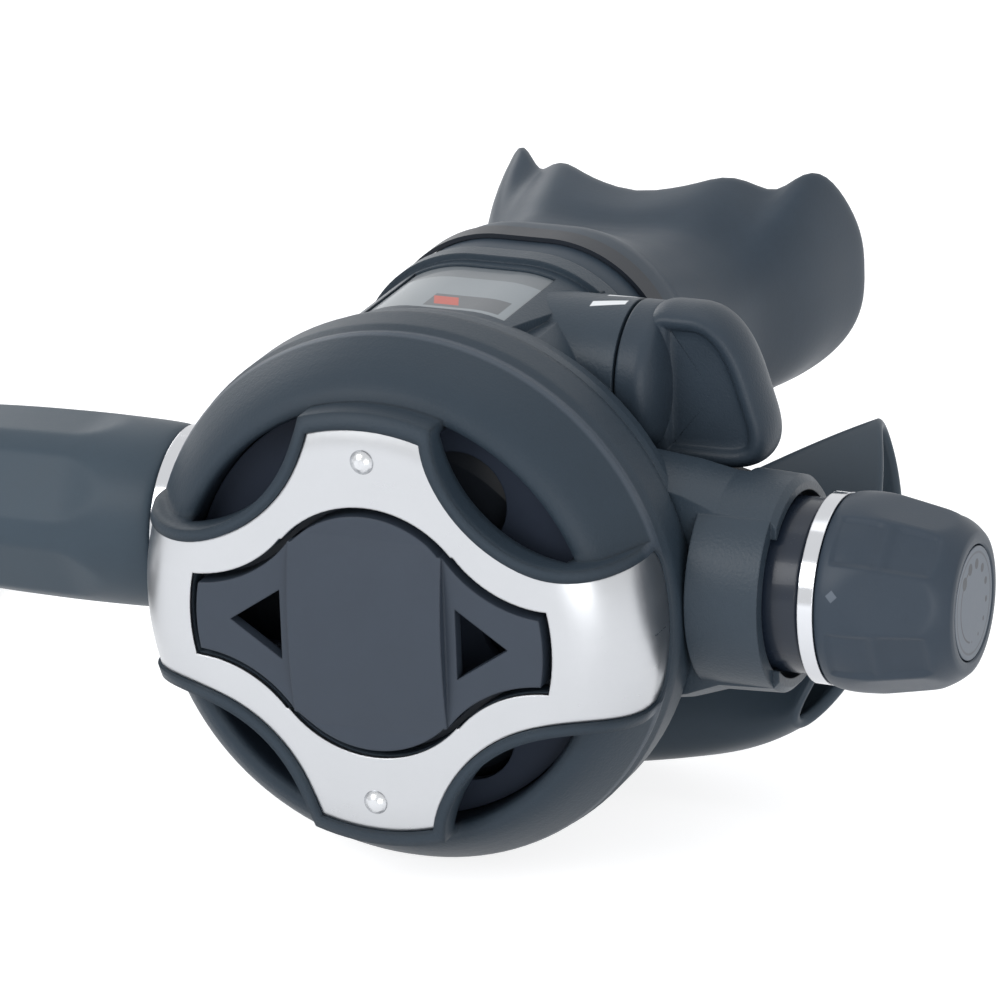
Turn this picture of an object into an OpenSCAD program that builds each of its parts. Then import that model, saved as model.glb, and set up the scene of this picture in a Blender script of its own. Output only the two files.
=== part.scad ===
// Adjustable second stage of a scuba regulator, with the start of its
// low-pressure hose.
//
// Every piece is drawn about the cover frame: its origin is the centre of the
// round opening in the front cover, +X points to the adjustment knob, +Y goes
// back to the mouthpiece and +Z is up. placed() then moves it to the part's own
// origin, which is under the middle of the regulator on the surface it rests on.

/* [Front cover] */
// Outside diameter of the cover
cover_d = 71.8; // [71.6:0.2:74]
// Diameter of the round opening in the cover
opening_d = 56; // [55:0.2:57]
// Diameter of the fine ridge round the face
ridge_d = 71.2; // [70:0.2:71.4]
// Depth of the cover from the opening's edge to its back
cover_depth = 17; // [16.5:0.1:17.2]
// Thickness of the steel trim plate
plate_t = 0.8; // [0.6:0.1:1]
// Width of the trim plate from tab to tab
plate_w = 74; // [73:0.5:76]
// Height of the trim plate from tab to tab
plate_h = 53.8; // [52:0.2:54.4]
// Diameter of a rivet's head
rivet_head_d = 3.2; // [3:0.2:6]
// Distance between the two rivets
rivet_pitch = 45.8; // [44:0.2:47]

/* [Purge button] */
// Width of the purge button's seat in the trim plate
button_w = 48.2; // [46:0.2:49]
// Gap round the purge button
button_gap = 1; // [0.6:0.1:1.2]
// Travel of the purge button
button_travel = 3.5; // [2.5:0.1:3.5]
// Width of the raised grip band down the middle of the button
band_w = 21; // [16:0.5:22]

/* [Valve] */
// Outside diameter of the valve barrel
barrel_d = 15; // [14.6:0.1:15.4]
// Bore of the valve barrel
barrel_bore_d = 11.2; // [11:0.1:11.4]
// Diameter of the case's bosses round the barrel
boss_d = 28; // [27:0.2:29]
// Bore of the orifice
orifice_bore_d = 4; // [3:0.2:5]
// Travel of the spring pad from knob out to knob in
pad_travel = 3; // [2:0.1:3]
// Diameter of the adjustment spindle
spindle_d = 6; // [5.6:0.1:6.4]

/* [Adjustment knob] */
// Diameter of the knob at its collar
knob_d = 24.7; // [24:0.1:26]
// Length of the knob without its ring
knob_len = 17.3; // [15:0.1:20]
// Diameter of the knob's end
knob_end_d = 18; // [16.5:0.5:20]
// Diameter of the disc in the knob's end
knob_cap_d = 14.6; // [13:0.2:15]

/* [Venturi lever] */
// Diameter of the lever's hub
lever_hub_d = 19; // [18:0.2:20]
// Reach of the lever's paddle from the hub's inner face
paddle_len = 17; // [15:0.5:18]
// Height of the paddle
paddle_h = 21.4; // [20:0.2:22]
// Thickness of the paddle at its rim
paddle_t = 8; // [6:0.2:8.4]
// Diameter of the lever's shaft
vane_shaft_d = 6; // [5:0.1:6.4]

/* [Mouthpiece] */
// Height of the case's oval mouthpiece tube
tube_d = 32; // [31.6:0.1:32.6]
// Height of the bore of that tube
tube_bore_d = 26.8; // [25:0.2:27.2]
// Width that the tube has beyond its height
tube_flat = 7; // [6:0.5:8]
// Distance of the tube's end behind the cover opening
tube_end = 52; // [51:0.5:54]
// Wall of the mouthpiece's collar
collar_t = 1.4; // [1.2:0.1:2]
// Width of the lip shield
shield_w = 53; // [50:0.5:58]
// Height of the lip shield
shield_h = 32; // [29:0.5:33]
// Distance of the bite tabs' ends behind the cover opening
bite_end = 115; // [112:0.5:117]

/* [Exhaust tee] */
// Width of the tee from outlet to outlet
tee_w = 84; // [80:0.5:88]
// Wall of the tee
tee_wall = 1.8; // [1.4:0.1:2.2]
// Diameter of the exhaust valve's disc
exhaust_valve_d = 26; // [25:0.2:27]

/* [Hose] */
// Outside diameter of the hose
hose_d = 12; // [11.6:0.1:12.2]
// Largest diameter of the hose sleeve
sleeve_d = 25; // [24.4:0.2:27]
// Distance between neighbouring turns of the coil
coil_pitch = 12.8; // [12.7:0.1:14]
// Width of the strap that ties the coil
tie_w = 6; // [5:0.5:8]
// Diameter of the thread on the hose's far end
stem_d = 9.52; // [9.4:0.02:9.6]
// Length of that thread
stem_len = 9; // [8:0.5:12]
// Width across the flats of the far end's hexagon
end_hex = 15.9; // [15:0.1:16.2]

/* [Hidden] */

// Smoothness of turned pieces and of small ones
$fn = 64;
fine = 96;
small = 24;
// A cut's overrun past the face that it starts from
over = 1;
// Running clearance between a shaft and its bore, on the radius
run_fit = 0.05;
// Clearance between pieces that are pushed together, on the radius
seat_fit = 0.1;
// Clearance between a moving face and the fixed one beside it
face_gap = 0.3;

// Front cover
cover_r = cover_d / 2;
opening_r = opening_d / 2;
ridge_r = ridge_d / 2;
ridge_y = 8.6;
flank_y = 10.4;
cover_clip_y = 9.5;
case_rim_r = cover_r - 2.4;
lip_w = 1.3;
face_steps = 6;
// The trim plate, its raised border and the button bend back at the sides
plate_y = -4.9;
border_rise = 0.5;
bend_x = 23.4;
bend_y = 6.6;
tab_end = 9.8;
tab_round = 3.6;
frame_back_y = -1.2;
border_w = 1.6;
border_top_w = 2.2;
tab_border_w = 0.8;
plate_half_w = plate_w / 2;
plate_half_h = plate_h / 2;
plate_tab_half = 10.8;
plate_tab_round = 3;
plate_waist = [28, 30.1, 20.8];
pocket_gap = 0.12;
// Outline of the button's seat
seat_half_w = button_w / 2;
seat_bulge = 0.6;
seat_crown = [1.7, 15];
seat_waist = [24.4, 21.7, 16.3];
seat_box_half = 11.5;
// Rivets
rivet_shank_r = 1;
rivet_depth = 3;
rivet_dome = 0.9;
// Spider behind the button
spider_y = 4.2;
spider_t = 1.2;
spider_windows = 6;
spider_window_r = 6.6;
spider_window_at = 18;
// Purge button
button_y = -5.2;
band_y = -6.6;
band_round = 60;
button_wall = 1.8;
button_flange = 1.5;
button_flange_t = 1;
button_boss_r = 5;
window_base_x = 12;
window_tip_x = 19;
window_half_h = 4.7;

// Diaphragm
membrane_t = 0.7;
crown_y = 6.4;
rim_t = 1.5;
disc_r = 12;
disc_t = 1;
disc_y = crown_y + membrane_t + seat_fit;

// Valve barrel, along X
barrel_y = 25.5;
barrel_z = 1;
barrel_r = barrel_d / 2;
bore_r = barrel_bore_d / 2;
barrel_left = -34;
barrel_right = 44.25;
boss_r = boss_d / 2;
boss_right = 46.75;
boss_left = -35.6;
boss_left_r = 12.8;
boss_root = 26;
// Poppet and orifice
orifice_face = -17.75;
orifice_back = -31;
seat_r = 3.4;
seat_t = 1.5;
poppet_r = bore_r - 0.3;
poppet_face = orifice_face + seat_fit;
poppet_back = 10;
stem_r = 2;
stem_end = 24;
flange_x = 15.4;
flange_t = 1.6;
poppet_lift = 0.5;
// Demand lever
pivot_x = 14;
pivot_r = 1.3;
tip_x = -2;
tip_r = 1.1;
tip_y = disc_y + disc_t + face_gap + tip_r;
leg_z = barrel_r + 0.4;
leg_t = 1.4;
leg_w = 3;
leg_len = 19;
foot_reach = 2.4;
foot_r = 1.2;
// Spring pad, spindle and packing nut
pad_x = 30;
pad_t = 4;
spindle_r = spindle_d / 2;
spindle_thread_r = 2;
spindle_tip = 26.8;
spindle_collar_r = 4.5;
spindle_collar_x = 34.4;
spindle_collar_t = 1.4;
nut_in = 36;
nut_flange_x = barrel_right;
nut_out = 50.5;
nut_r = 11.3;
nut_recess_r = 12.1;
o_ring_r = 0.6;
nut_groove_x = 40;

// Knob
ring_x = nut_out + 0.25;
ring_w = 2;
knob_x = ring_x + ring_w;
knob_r = knob_d / 2;
knob_end = knob_x + knob_len;
knob_end_r = knob_end_d / 2;
knob_hub_r = 7.9;
spindle_end = knob_x + 9;
cap_t = 1.2;
cap_r = knob_cap_d / 2;
grip_start = knob_x + 3.2;
grip_panels = 8;

// Inlet side
inlet_ring_r = 12.3;
inlet_ring_x = -38.8;
inlet_ring_w = 1.8;
inlet_hub_r = 8.2;
inlet_stem_r = 7.1;
inlet_stem_x = -49;
air_r = 3;
hose_hex = 17.5;
hose_nut_x = inlet_ring_x - 0.6;
hose_nut_end = -54;
ferrule_r = 8.3;
ferrule_end = -80;
sleeve_start = inlet_ring_x - face_gap;
sleeve_end = -100;
sleeve_r = sleeve_d / 2;
sleeve_tail_r = 8.8;

// Mouthpiece tube and the label's recess
tube_z = 18.7;
tube_r = tube_d / 2;
tube_half = tube_flat / 2;
tube_bore_r = tube_bore_d / 2;
tube_bore_y = 24;
tube_rim_y = 41.5;
tube_rim_w = 3;
tube_rim_rise = 0.9;
// Spigot behind the rim that the mouthpiece fits over
spigot_r = tube_r - 1.2;
label_x0 = -11;
label_x1 = 8.5;
label_y0 = 22;
label_y1 = 39.5;
label_t = 0.6;
label_sink = 0.3;
step_z = 31.6;
step_x = 9.2;
step_turn = -11;

// Venturi lever, turning about X
lever_y = 35;
lever_z = 24;
lever_boss_end = 21.6;
lever_hub_r = lever_hub_d / 2;
lever_x = lever_boss_end + face_gap;
hub_w = 3.6;
paddle_end = lever_x + paddle_len;
paddle_round = 6.5;
paddle_slant = 2.6;
paddle_drop = 0.6;
paddle_x = lever_x + 2.6;
paddle_rim = 1.8;
paddle_sink = 1;
vane_r = vane_shaft_d / 2;
vane_half = 10;
vane_w = 6;
vane_t = 1.6;
vane_groove_x = 18;

// Case shell
case_rim_y = cover_clip_y + rim_t;
case_back_y = 36.5;
case_wall = 2.4;
cavity_r = case_rim_r - case_wall - 0.6;
// Exhaust port on the back of the case
port_z = -14.5;
port_r = 12;
port_collar_r = 14.5;
port_web_y = 37.5;
port_web_t = 2;
port_lip = 0.5;
port_holes = 6;
port_hole_r = 3.2;
port_ring_r = 7.4;
port_stem_r = 1.3;
valve_r = exhaust_valve_d / 2;
valve_t = 0.8;

// Exhaust tee: a duct along X whose section leans back towards the outlets
floor_z = -cover_r;
tee_half = tee_w / 2;
tee_middle = [47, 15.2, 8.6];
tee_outlet = [55, 22.5, 6.6];
tee_outlet_z = -8;
tee_lean = 45;
tee_bulge = 5.5;
tee_splay = 1;
tee_flare = 1.7;
tee_steps = 14;
tee_sides = 24;
tee_power = 3.2;
tee_outlet_power = 2.2;

// Mouthpiece: sections along Y, each [y, half width, half height, centre z, lobes, sweep]
collar_r = spigot_r + seat_fit + collar_t;
collar_y = 45;
shield_a = shield_w / 2;
shield_b = shield_h / 2;
shield_z = 15.5;
shield_y = 90;
shield_sweep = 18.5;
shield_t = 2.4;
airway_a = 11.5;
airway_b = 7;
shield_power = 2.6;
shield_low = 3;
mouth_sides = 48;
bite_x = 17.5;
bite_w = 8.5;
bite_h = 10;
bite_root = 91;
strap_y = 50;
strap_w = 3.6;
strap_t = 0.6;

// Hose: heights are above the surface that the regulator rests on
hose_r = hose_d / 2;
hose_sides = 12;
coil_sides = 6;
axis_height = barrel_z - floor_z;
// Route of the free hose as [x, distance behind the barrel's axis, share of the
// barrel's height that is left]
hose_route = [
    [-80, 0, 1], [-90, 0, 1], [-100, 0, 1], [-112, 0, 1], [-124, 0, 0.982],
    [-136, 0, 0.924], [-149, 0, 0.824], [-162, 0, 0.694], [-175.6, 1.3, 0.536], [-188.5, 6, 0.376],
    [-199.9, 14.1, 0.227], [-208.9, 24.9, 0.106], [-214.8, 37.8, 0.027], [-217.2, 52, 0]
];
coil_centre = [-162, 52];
coil_start_r = 52;
coil_from = 90;
coil_to = 480;
coil_rings = 24;
coil_rise_from = 450;
end_height = 8.2;
end_straight = hose_d;
tie_angle = 90;
tie_t = 0.8;
tie_gap = 0.45;
end_ferrule_len = 22;
end_ferrule_r = 7.8;
end_hex_len = 10;
end_nose_r = 3.9;
end_nose_len = 5;

// Size of the regulator without its hose, which sets the part's origin
body_left = sleeve_end;
body_right = knob_end;
body_front = band_y;
body_back = bite_end;
origin_x = (body_left + body_right) / 2;
origin_y = (body_front + body_back) / 2;

// ---------------------------------------------------------------- helpers

// Moves a piece from the cover frame to the part's origin.
module placed() translate([-origin_x, -origin_y, -floor_z]) children();

// Turns Z-pointing children to point along +X, about the barrel's axis.
module on_barrel() translate([0, barrel_y, barrel_z]) rotate([0, 90, 0]) children();

// Turns Z-pointing children to point along +X, about the lever's axis.
module on_lever() translate([0, lever_y, lever_z]) rotate([0, 90, 0]) children();

// Turns Z-pointing children to point back along +Y.
module facing_back() rotate([-90, 0, 0]) children();

// A solid of revolution from points of [radius, distance along the axis].
module turned(points) rotate_extrude($fn = fine) polygon(points);

// A round bar from one distance along the axis to another.
module bar(r, from, to) translate([0, 0, from]) cylinder(r = r, h = to - from);

// A tube from one distance along the axis to another.
module ring(r_out, r_in, from, to) difference() {
    bar(r_out, from, to);
    bar(r_in, from - over, to + over);
}

// A bar or tube like those, flattened out by half in X to each side.
module flat_bar(half, r, from, to) {
    for (s = [-1, 1]) translate([s * half, 0, 0]) bar(r, from, to);
    translate([-half, -r, from]) cube([2 * half, 2 * r, to - from]);
}

module flat_ring(half, r_out, r_in, from, to) difference() {
    flat_bar(half, r_out, from, to);
    flat_bar(half, r_in, from - over, to + over);
}

// Extrudes an outline drawn in X and Z from one Y to another.
module slab(from, to) translate([0, to, 0]) rotate([90, 0, 0]) linear_extrude(to - from) children();

// An O-ring round the axis, with its middle at a distance along it.
module o_ring(centre_r, at) translate([0, 0, at]) rotate_extrude() translate([centre_r, 0]) circle(o_ring_r, $fn = small);

// Joins equal loops of points into one closed skin; the last meets the first.
module skin(loops) {
    n = len(loops[0]);
    m = len(loops);
    faces = [
        for (i = [0:m - 1], j = [0:n - 1], half = [0, 1])
            let (a = i * n + j, b = i * n + (j + 1) % n, c = ((i + 1) % m) * n + (j + 1) % n, d = ((i + 1) % m) * n + j)
            half == 0 ? [a, b, c] : [a, c, d]
    ];
    polyhedron([for (l = loops) each l], faces);
}

// Joins equal loops of points into one solid with flat ends.
module loft(loops) {
    n = len(loops[0]);
    m = len(loops);
    sides = [
        for (i = [0:m - 2], j = [0:n - 1], half = [0, 1])
            let (a = i * n + j, b = i * n + (j + 1) % n, c = (i + 1) * n + (j + 1) % n, d = (i + 1) * n + j)
            half == 0 ? [a, b, c] : [a, c, d]
    ];
    first = [for (j = [1:n - 2]) [0, j + 1, j]];
    last = [for (j = [1:n - 2]) [(m - 1) * n, (m - 1) * n + j, (m - 1) * n + j + 1]];
    polyhedron([for (l = loops) each l], concat(sides, first, last));
}

function unit(v) = v / norm(v);

// Loop of a round tube about point p, square to direction d.
function tube_loop(p, d, r, sides) =
    let (side = unit(cross([0, 0, 1], d)), up = cross(d, side))
    [for (k = [0:sides - 1]) let (a = 90 - k * 360 / sides) p + r * (cos(a) * side + sin(a) * up)];

// Direction of a path at point i, from its neighbours.
function heading(path, i) = unit(path[min(i + 1, len(path) - 1)] - path[max(i - 1, 0)]);

// Loops of a tube along a path whose two end directions are given.
function tube_loops(path, first, last, r, sides) = [
    for (i = [0:len(path) - 1])
        tube_loop(path[i], i == 0 ? first : i == len(path) - 1 ? last : heading(path, i), r, sides)
];

// Helical wire along Z between two heights, 8 rings a curl.
module spring(coil_r, wire_r, curls, from, to) {
    steps = 8 * curls;
    path = [
        for (i = [0:steps])
            [coil_r * cos(i * 45), coil_r * sin(i * 45), from + wire_r + (to - from - 2 * wire_r) * i / steps]
    ];
    loft([
        for (i = [0:steps])
            let (d = heading(path, i), out = unit([path[i][0], path[i][1], 0]), up = cross(out, d))
            [for (k = [0:5]) path[i] + wire_r * (cos(k * 60) * out - sin(k * 60) * up)]
    ]);
}

// ---------------------------------------------------------------- outlines in X and Z

// Mirrors its children into all four quarters.
module quarters() for (mx = [0, 1], mz = [0, 1]) mirror([mx, 0]) mirror([0, mz]) children();

// A rectangle with rounded corners, by its half sizes.
module rounded(half_x, half_z, r) {
    square([2 * (half_x - r), 2 * half_z], center = true);
    square([2 * half_x, 2 * (half_z - r)], center = true);
    for (mx = [-1, 1], mz = [-1, 1]) translate([mx * (half_x - r), mz * (half_z - r)]) circle(r, $fn = small);
}

// The trim plate's outer edge, grown outwards; top is the growth of its two tall tabs.
module plate_outline(grow, top) difference() {
    union() {
        circle(plate_half_h + top);
        rounded(plate_half_w + grow, plate_tab_half + grow, plate_tab_round);
    }
    quarters() translate([plate_waist[0], plate_waist[1]]) circle(plate_waist[2] - grow);
}

// The purge button's seat, grown outwards.
module seat_outline(grow) difference() {
    intersection() {
        union() {
            for (s = [-1, 1]) translate([0, s * seat_crown[0]]) circle(seat_crown[1] + grow);
            square([2 * (seat_half_w + seat_bulge + grow), 2 * seat_box_half], center = true);
        }
        circle(seat_half_w + seat_bulge + grow);
    }
    quarters() translate([seat_waist[0], seat_waist[1]]) circle(seat_waist[2] - grow);
}

// Everything behind a front that is flat in the middle and rolls back all round, as a dished disc does.
module behind_bend(front) facing_back() rotate_extrude() {
    r = bend_y - front;
    translate([0, front]) square([bend_x, tab_end - front]);
    translate([bend_x, bend_y]) circle(r);
    translate([0, bend_y]) square([bend_x + r, tab_end]);
}

// Space of the plate with its two bent tabs, whose ends have rounded corners.
module tab_space(grow) {
    translate([-bend_x, -2 * cover_r, -cover_r]) cube([2 * bend_x, 4 * cover_r, 2 * cover_r]);
    translate([-cover_r, 0, 0]) rotate([90, 0, 90]) linear_extrude(2 * cover_r)
        translate([tab_end + grow - cover_r, 0]) rounded(cover_r, plate_tab_half + grow, tab_round);
}

// ---------------------------------------------------------------- front cover

// Turned body of the cover, as [radius, y].
module cover_body() facing_back() turned(concat(
    [[opening_r, lip_w * 0.8], [opening_r + lip_w * 0.35, 0.15]],
    [for (i = [0:face_steps])
        let (t = i / face_steps)
        [opening_r + lip_w + (ridge_r - opening_r - lip_w) * t, ridge_y * pow(t, 1.7)]],
    [
        [cover_r - 0.5, flank_y - 0.4], [cover_r, flank_y + 0.6], [cover_r, cover_depth - 0.6],
        [cover_r - 0.6, cover_depth], [case_rim_r + seat_fit * 2, cover_depth],
        [case_rim_r + seat_fit * 2, cover_clip_y], [opening_r + 2.2, cover_clip_y],
        [opening_r + 2.2, spider_y + spider_t + 0.1], [opening_r, spider_y + spider_t + 0.1]
    ]));

// Raised border that carries the trim plate across the opening.
module cover_frame() difference() {
    intersection() {
        slab(plate_y - over, tab_end + border_w) plate_outline(border_w, border_top_w);
        behind_bend(plate_y - border_rise);
        tab_space(tab_border_w);
        facing_back() bar(cover_r + 0.2, plate_y - over - border_rise, tab_end + border_w);
    }
    facing_back() bar(opening_r, frame_back_y, spider_y + spider_t + 0.1);
    facing_back() bar(opening_r + 2.2, spider_y + spider_t, tab_end + 2 * border_w);
    facing_back() bar(case_rim_r + 2 * seat_fit, cover_clip_y, tab_end + 2 * border_w);
}

module front_cover() color([0.24, 0.27, 0.31]) difference() {
    union() {
        cover_body();
        cover_frame();
    }
    slab(plate_y - 2 * over, tab_end) seat_outline(0);
    difference() {
        intersection() {
            slab(plate_y - 2 * over, tab_end + pocket_gap) plate_outline(pocket_gap, pocket_gap);
            tab_space(pocket_gap);
        }
        behind_bend(plate_y + plate_t + pocket_gap);
    }
    for (s = [-1, 1]) translate([0, 0, s * rivet_pitch / 2])
        facing_back() bar(rivet_shank_r + seat_fit, plate_y - over, plate_y + rivet_depth + seat_fit);
}

module trim_plate() color([0.86, 0.87, 0.88]) difference() {
    intersection() {
        slab(plate_y - over, tab_end) plate_outline(0, 0);
        behind_bend(plate_y);
        tab_space(0);
    }
    behind_bend(plate_y + plate_t);
    slab(plate_y - 2 * over, tab_end) seat_outline(pocket_gap);
    for (s = [-1, 1]) translate([0, 0, s * rivet_pitch / 2])
        facing_back() bar(rivet_shank_r + seat_fit, plate_y - over, plate_y + 2 * over);
}

// Two domed rivets through the plate into the border.
module trim_rivets() color([0.8, 0.81, 0.82])
    for (s = [-1, 1]) translate([0, plate_y, s * rivet_pitch / 2]) facing_back() turned([
        [0, -rivet_dome], [rivet_head_d * 0.22, -rivet_dome * 0.88], [rivet_head_d * 0.38, -rivet_dome * 0.5],
        [rivet_head_d / 2, 0], [rivet_shank_r, 0], [rivet_shank_r, rivet_depth], [0, rivet_depth]
    ]);

// Plate with round windows behind the button that its spring stands on.
module cover_spider() color([0.2, 0.23, 0.27]) facing_back() difference() {
    bar(opening_r - 2 * seat_fit, spider_y, spider_y + spider_t);
    bar(button_boss_r + 0.6, spider_y - over, spider_y + spider_t + over);
    for (k = [0:spider_windows - 1]) rotate(k * 360 / spider_windows) translate([spider_window_at, 0, 0])
        bar(spider_window_r, spider_y - over, spider_y + spider_t + over);
}

// ---------------------------------------------------------------- purge button

module button_window(side) polygon([
    [side * window_base_x, window_half_h], [side * window_tip_x, 0], [side * window_base_x, -window_half_h]
]);

module purge_button() color([0.22, 0.25, 0.29]) {
    boss_end = crown_y - 2 * face_gap;
    difference() {
        union() {
            intersection() {
                slab(band_y, frame_back_y + 0.2) seat_outline(-button_gap);
                behind_bend(button_y);
            }
            intersection() {
                slab(band_y - over, frame_back_y + 0.2) intersection() {
                    seat_outline(-button_gap);
                    square([band_w, 4 * seat_box_half], center = true);
                }
                translate([0, band_y + band_round, 0]) rotate([0, 90, 0])
                    cylinder(r = band_round, h = band_w + over, center = true, $fn = 4 * fine);
            }
            slab(frame_back_y + 0.2, frame_back_y + 0.2 + button_flange_t) seat_outline(button_flange);
        }
        slab(button_y + button_wall, over) seat_outline(-button_gap - button_wall);
        for (side = [-1, 1]) slab(band_y - over, over) button_window(side);
    }
    facing_back() bar(button_boss_r, button_y + button_wall - 0.1, boss_end);
}

module purge_spring() color([0.75, 0.76, 0.78]) facing_back()
    spring(button_boss_r + 2, 0.4, 4, button_y + button_wall + 0.05, spider_y - 0.05);

// ---------------------------------------------------------------- diaphragm and lever

// Membrane's front surface as [radius, y].
membrane_front = [
    [0, crown_y], [18, crown_y], [21, crown_y + 0.3], [24, crown_y + 1.3],
    [26.5, crown_y + 3.1], [28.5, crown_y + 3.7], [opening_r + 2.6, cover_clip_y + 0.4]
];

module diaphragm() color([0.12, 0.13, 0.15]) facing_back() turned(concat(
    membrane_front,
    [
        [opening_r + 2.6, cover_clip_y], [case_rim_r, cover_clip_y],
        [case_rim_r, case_rim_y], [opening_r + 2.6, case_rim_y]
    ],
    [for (i = [len(membrane_front) - 1:-1:0]) membrane_front[i] + [0, membrane_t]]));

module diaphragm_disc() color([0.8, 0.81, 0.82]) facing_back()
    bar(disc_r, disc_y, disc_y + disc_t);

// The lever in its own plane: the pivot is the origin and U points to the tip.
module demand_lever() color([0.82, 0.83, 0.84]) translate([pivot_x, barrel_y, barrel_z]) {
    reach = [tip_x - pivot_x, tip_y - barrel_y];
    for (s = [0, 1]) mirror([0, 0, s]) {
        rotate(atan2(reach[1], reach[0])) translate([0, 0, leg_z]) linear_extrude(leg_t) {
            circle(leg_w, $fn = small);
            translate([0, -leg_w / 2]) square([leg_len, leg_w]);
        }
        bar(pivot_r, stem_r + 0.4, leg_z + leg_t / 2, $fn = small);
        translate([0, 0, stem_r + 0.4]) linear_extrude(1.7) {
            translate([-foot_r, 0]) square([2 * foot_r, foot_reach]);
            translate([0, foot_reach]) circle(foot_r, $fn = small);
        }
    }
    rotate(atan2(reach[1], reach[0])) {
        translate([leg_len - leg_t, -leg_w / 2, -leg_z - leg_t]) cube([leg_t, leg_w, 2 * (leg_z + leg_t)]);
        translate([leg_len - leg_t, -leg_t / 2, -leg_w]) cube([norm(reach) - leg_len + leg_t, leg_t, 2 * leg_w]);
        translate([norm(reach), 0, -leg_w]) cylinder(r = tip_r, h = 2 * leg_w, $fn = small);
    }
}

// ---------------------------------------------------------------- valve in the barrel

module valve_barrel() color([0.78, 0.79, 0.8]) difference() {
    on_barrel() ring(barrel_r, bore_r, barrel_left, barrel_right);
    translate([pivot_x, barrel_y, barrel_z]) cylinder(r = pivot_r + run_fit, h = 3 * barrel_r, center = true);
    for (x = [-9, 3]) translate([x, barrel_y, barrel_z]) facing_back() bar(2.6, 0, 2 * barrel_r);
}

module inlet_orifice() color([0.85, 0.8, 0.6]) on_barrel() difference() {
    turned([
        [orifice_bore_d / 2, orifice_back], [bore_r - seat_fit, orifice_back], [bore_r - seat_fit, -20.5],
        [seat_r, -19], [orifice_bore_d / 2 + 0.6, orifice_face], [orifice_bore_d / 2, orifice_face]
    ]);
    ring(bore_r + over, bore_r - 2 * o_ring_r - 0.1, -26, -24.4);
}

module orifice_o_ring() color([0.1, 0.1, 0.1]) on_barrel() o_ring(bore_r - o_ring_r - 0.05, -25.2);

module poppet() color([0.75, 0.7, 0.55]) on_barrel() difference() {
    union() {
        bar(poppet_r, poppet_face, poppet_back);
        bar(stem_r, poppet_back - over, stem_end);
        bar(poppet_r, flange_x, flange_x + flange_t);
    }
    bar(seat_r + seat_fit, poppet_face - over, poppet_face + seat_t);
    for (k = [0:3]) rotate(k * 90) translate([poppet_r + 0.6, 0, 0]) bar(1.8, poppet_face + 2 * seat_t, poppet_back + over / 2);
}

module poppet_seat() color([0.15, 0.15, 0.16]) on_barrel() bar(seat_r, poppet_face, poppet_face + seat_t);

module poppet_spring() color([0.75, 0.76, 0.78]) on_barrel()
    spring(stem_r + 1.9, 0.45, 7, flange_x + flange_t + 0.1, pad_x - 0.1);

module spring_pad() color([0.75, 0.7, 0.55]) on_barrel()
    ring(poppet_r, spindle_thread_r + run_fit, pad_x, pad_x + pad_t);

module adjust_spindle() color([0.78, 0.79, 0.8]) on_barrel() {
    bar(spindle_thread_r, spindle_tip, spindle_collar_x + 0.5);
    bar(spindle_collar_r, spindle_collar_x, spindle_collar_x + spindle_collar_t);
    bar(spindle_r, spindle_collar_x + 0.5, spindle_end);
}

module spindle_o_ring() color([0.1, 0.1, 0.1]) on_barrel() o_ring(spindle_r + o_ring_r + 0.03, nut_groove_x);

// Shiny collar that closes the barrel and guides the spindle.
module packing_nut() color([0.2, 0.22, 0.26]) on_barrel() difference() {
    union() {
        bar(bore_r - seat_fit, nut_in, nut_flange_x + 0.5);
        turned([[0, nut_flange_x], [nut_r, nut_flange_x], [nut_r, nut_out - 0.5], [nut_r - 0.5, nut_out], [0, nut_out]]);
    }
    bar(spindle_r + run_fit, nut_in - over, nut_out + over);
    bar(spindle_r + 2 * o_ring_r + 0.1, nut_groove_x - o_ring_r - 0.1, nut_groove_x + o_ring_r + 0.1);
}

// ---------------------------------------------------------------- adjustment knob

module adjust_knob() color([0.25, 0.28, 0.32]) on_barrel() difference() {
    intersection() {
        union() {
            turned([
                [0, ring_x], [knob_hub_r, ring_x], [knob_hub_r, knob_x], [knob_r, knob_x],
                [knob_r + 0.4, knob_x + 1.5], [knob_r + 0.4, grip_start + 5], [knob_r - 0.6, knob_end - 5],
                [knob_end_r + 1.2, knob_end - 1.6], [knob_end_r, knob_end], [0, knob_end]
            ]);
        }
        union() {
            bar(knob_r + over, ring_x - over, grip_start);
            rotate(360 / grip_panels / 2) translate([0, 0, grip_start - over])
                cylinder(r1 = knob_r + 1.2, r2 = knob_end_r + 1.5, h = knob_end - grip_start + 2 * over, $fn = grip_panels);
        }
    }
    bar(cap_r + seat_fit, knob_end - cap_t, knob_end + over);
    bar(spindle_r + seat_fit, ring_x - over, spindle_end + seat_fit);
}

module knob_ring() color([0.85, 0.85, 0.86]) on_barrel() ring(knob_r, knob_hub_r + seat_fit, ring_x, knob_x);

module knob_cap() color([0.25, 0.28, 0.32]) on_barrel() bar(cap_r, knob_end - cap_t, knob_end - 0.1);

// ---------------------------------------------------------------- inlet side

module inlet_nut() color([0.85, 0.85, 0.86]) on_barrel() difference() {
    union() {
        bar(inlet_stem_r, inlet_stem_x, inlet_ring_x + over);
        bar(inlet_ring_r, inlet_ring_x, inlet_ring_x + inlet_ring_w);
        bar(inlet_hub_r, inlet_ring_x + over, barrel_left);
        bar(bore_r - seat_fit, barrel_left - over, orifice_back - face_gap);
    }
    bar(air_r, inlet_stem_x - over, orifice_back + over);
}

module hose_nut() color([0.8, 0.81, 0.82]) on_barrel() difference() {
    translate([0, 0, hose_nut_end]) cylinder(d = hose_hex / cos(30), h = hose_nut_x - hose_nut_end, $fn = 6);
    bar(inlet_stem_r + seat_fit, inlet_stem_x, hose_nut_x + over);
    bar(air_r, hose_nut_end - over, inlet_stem_x);
}

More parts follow.
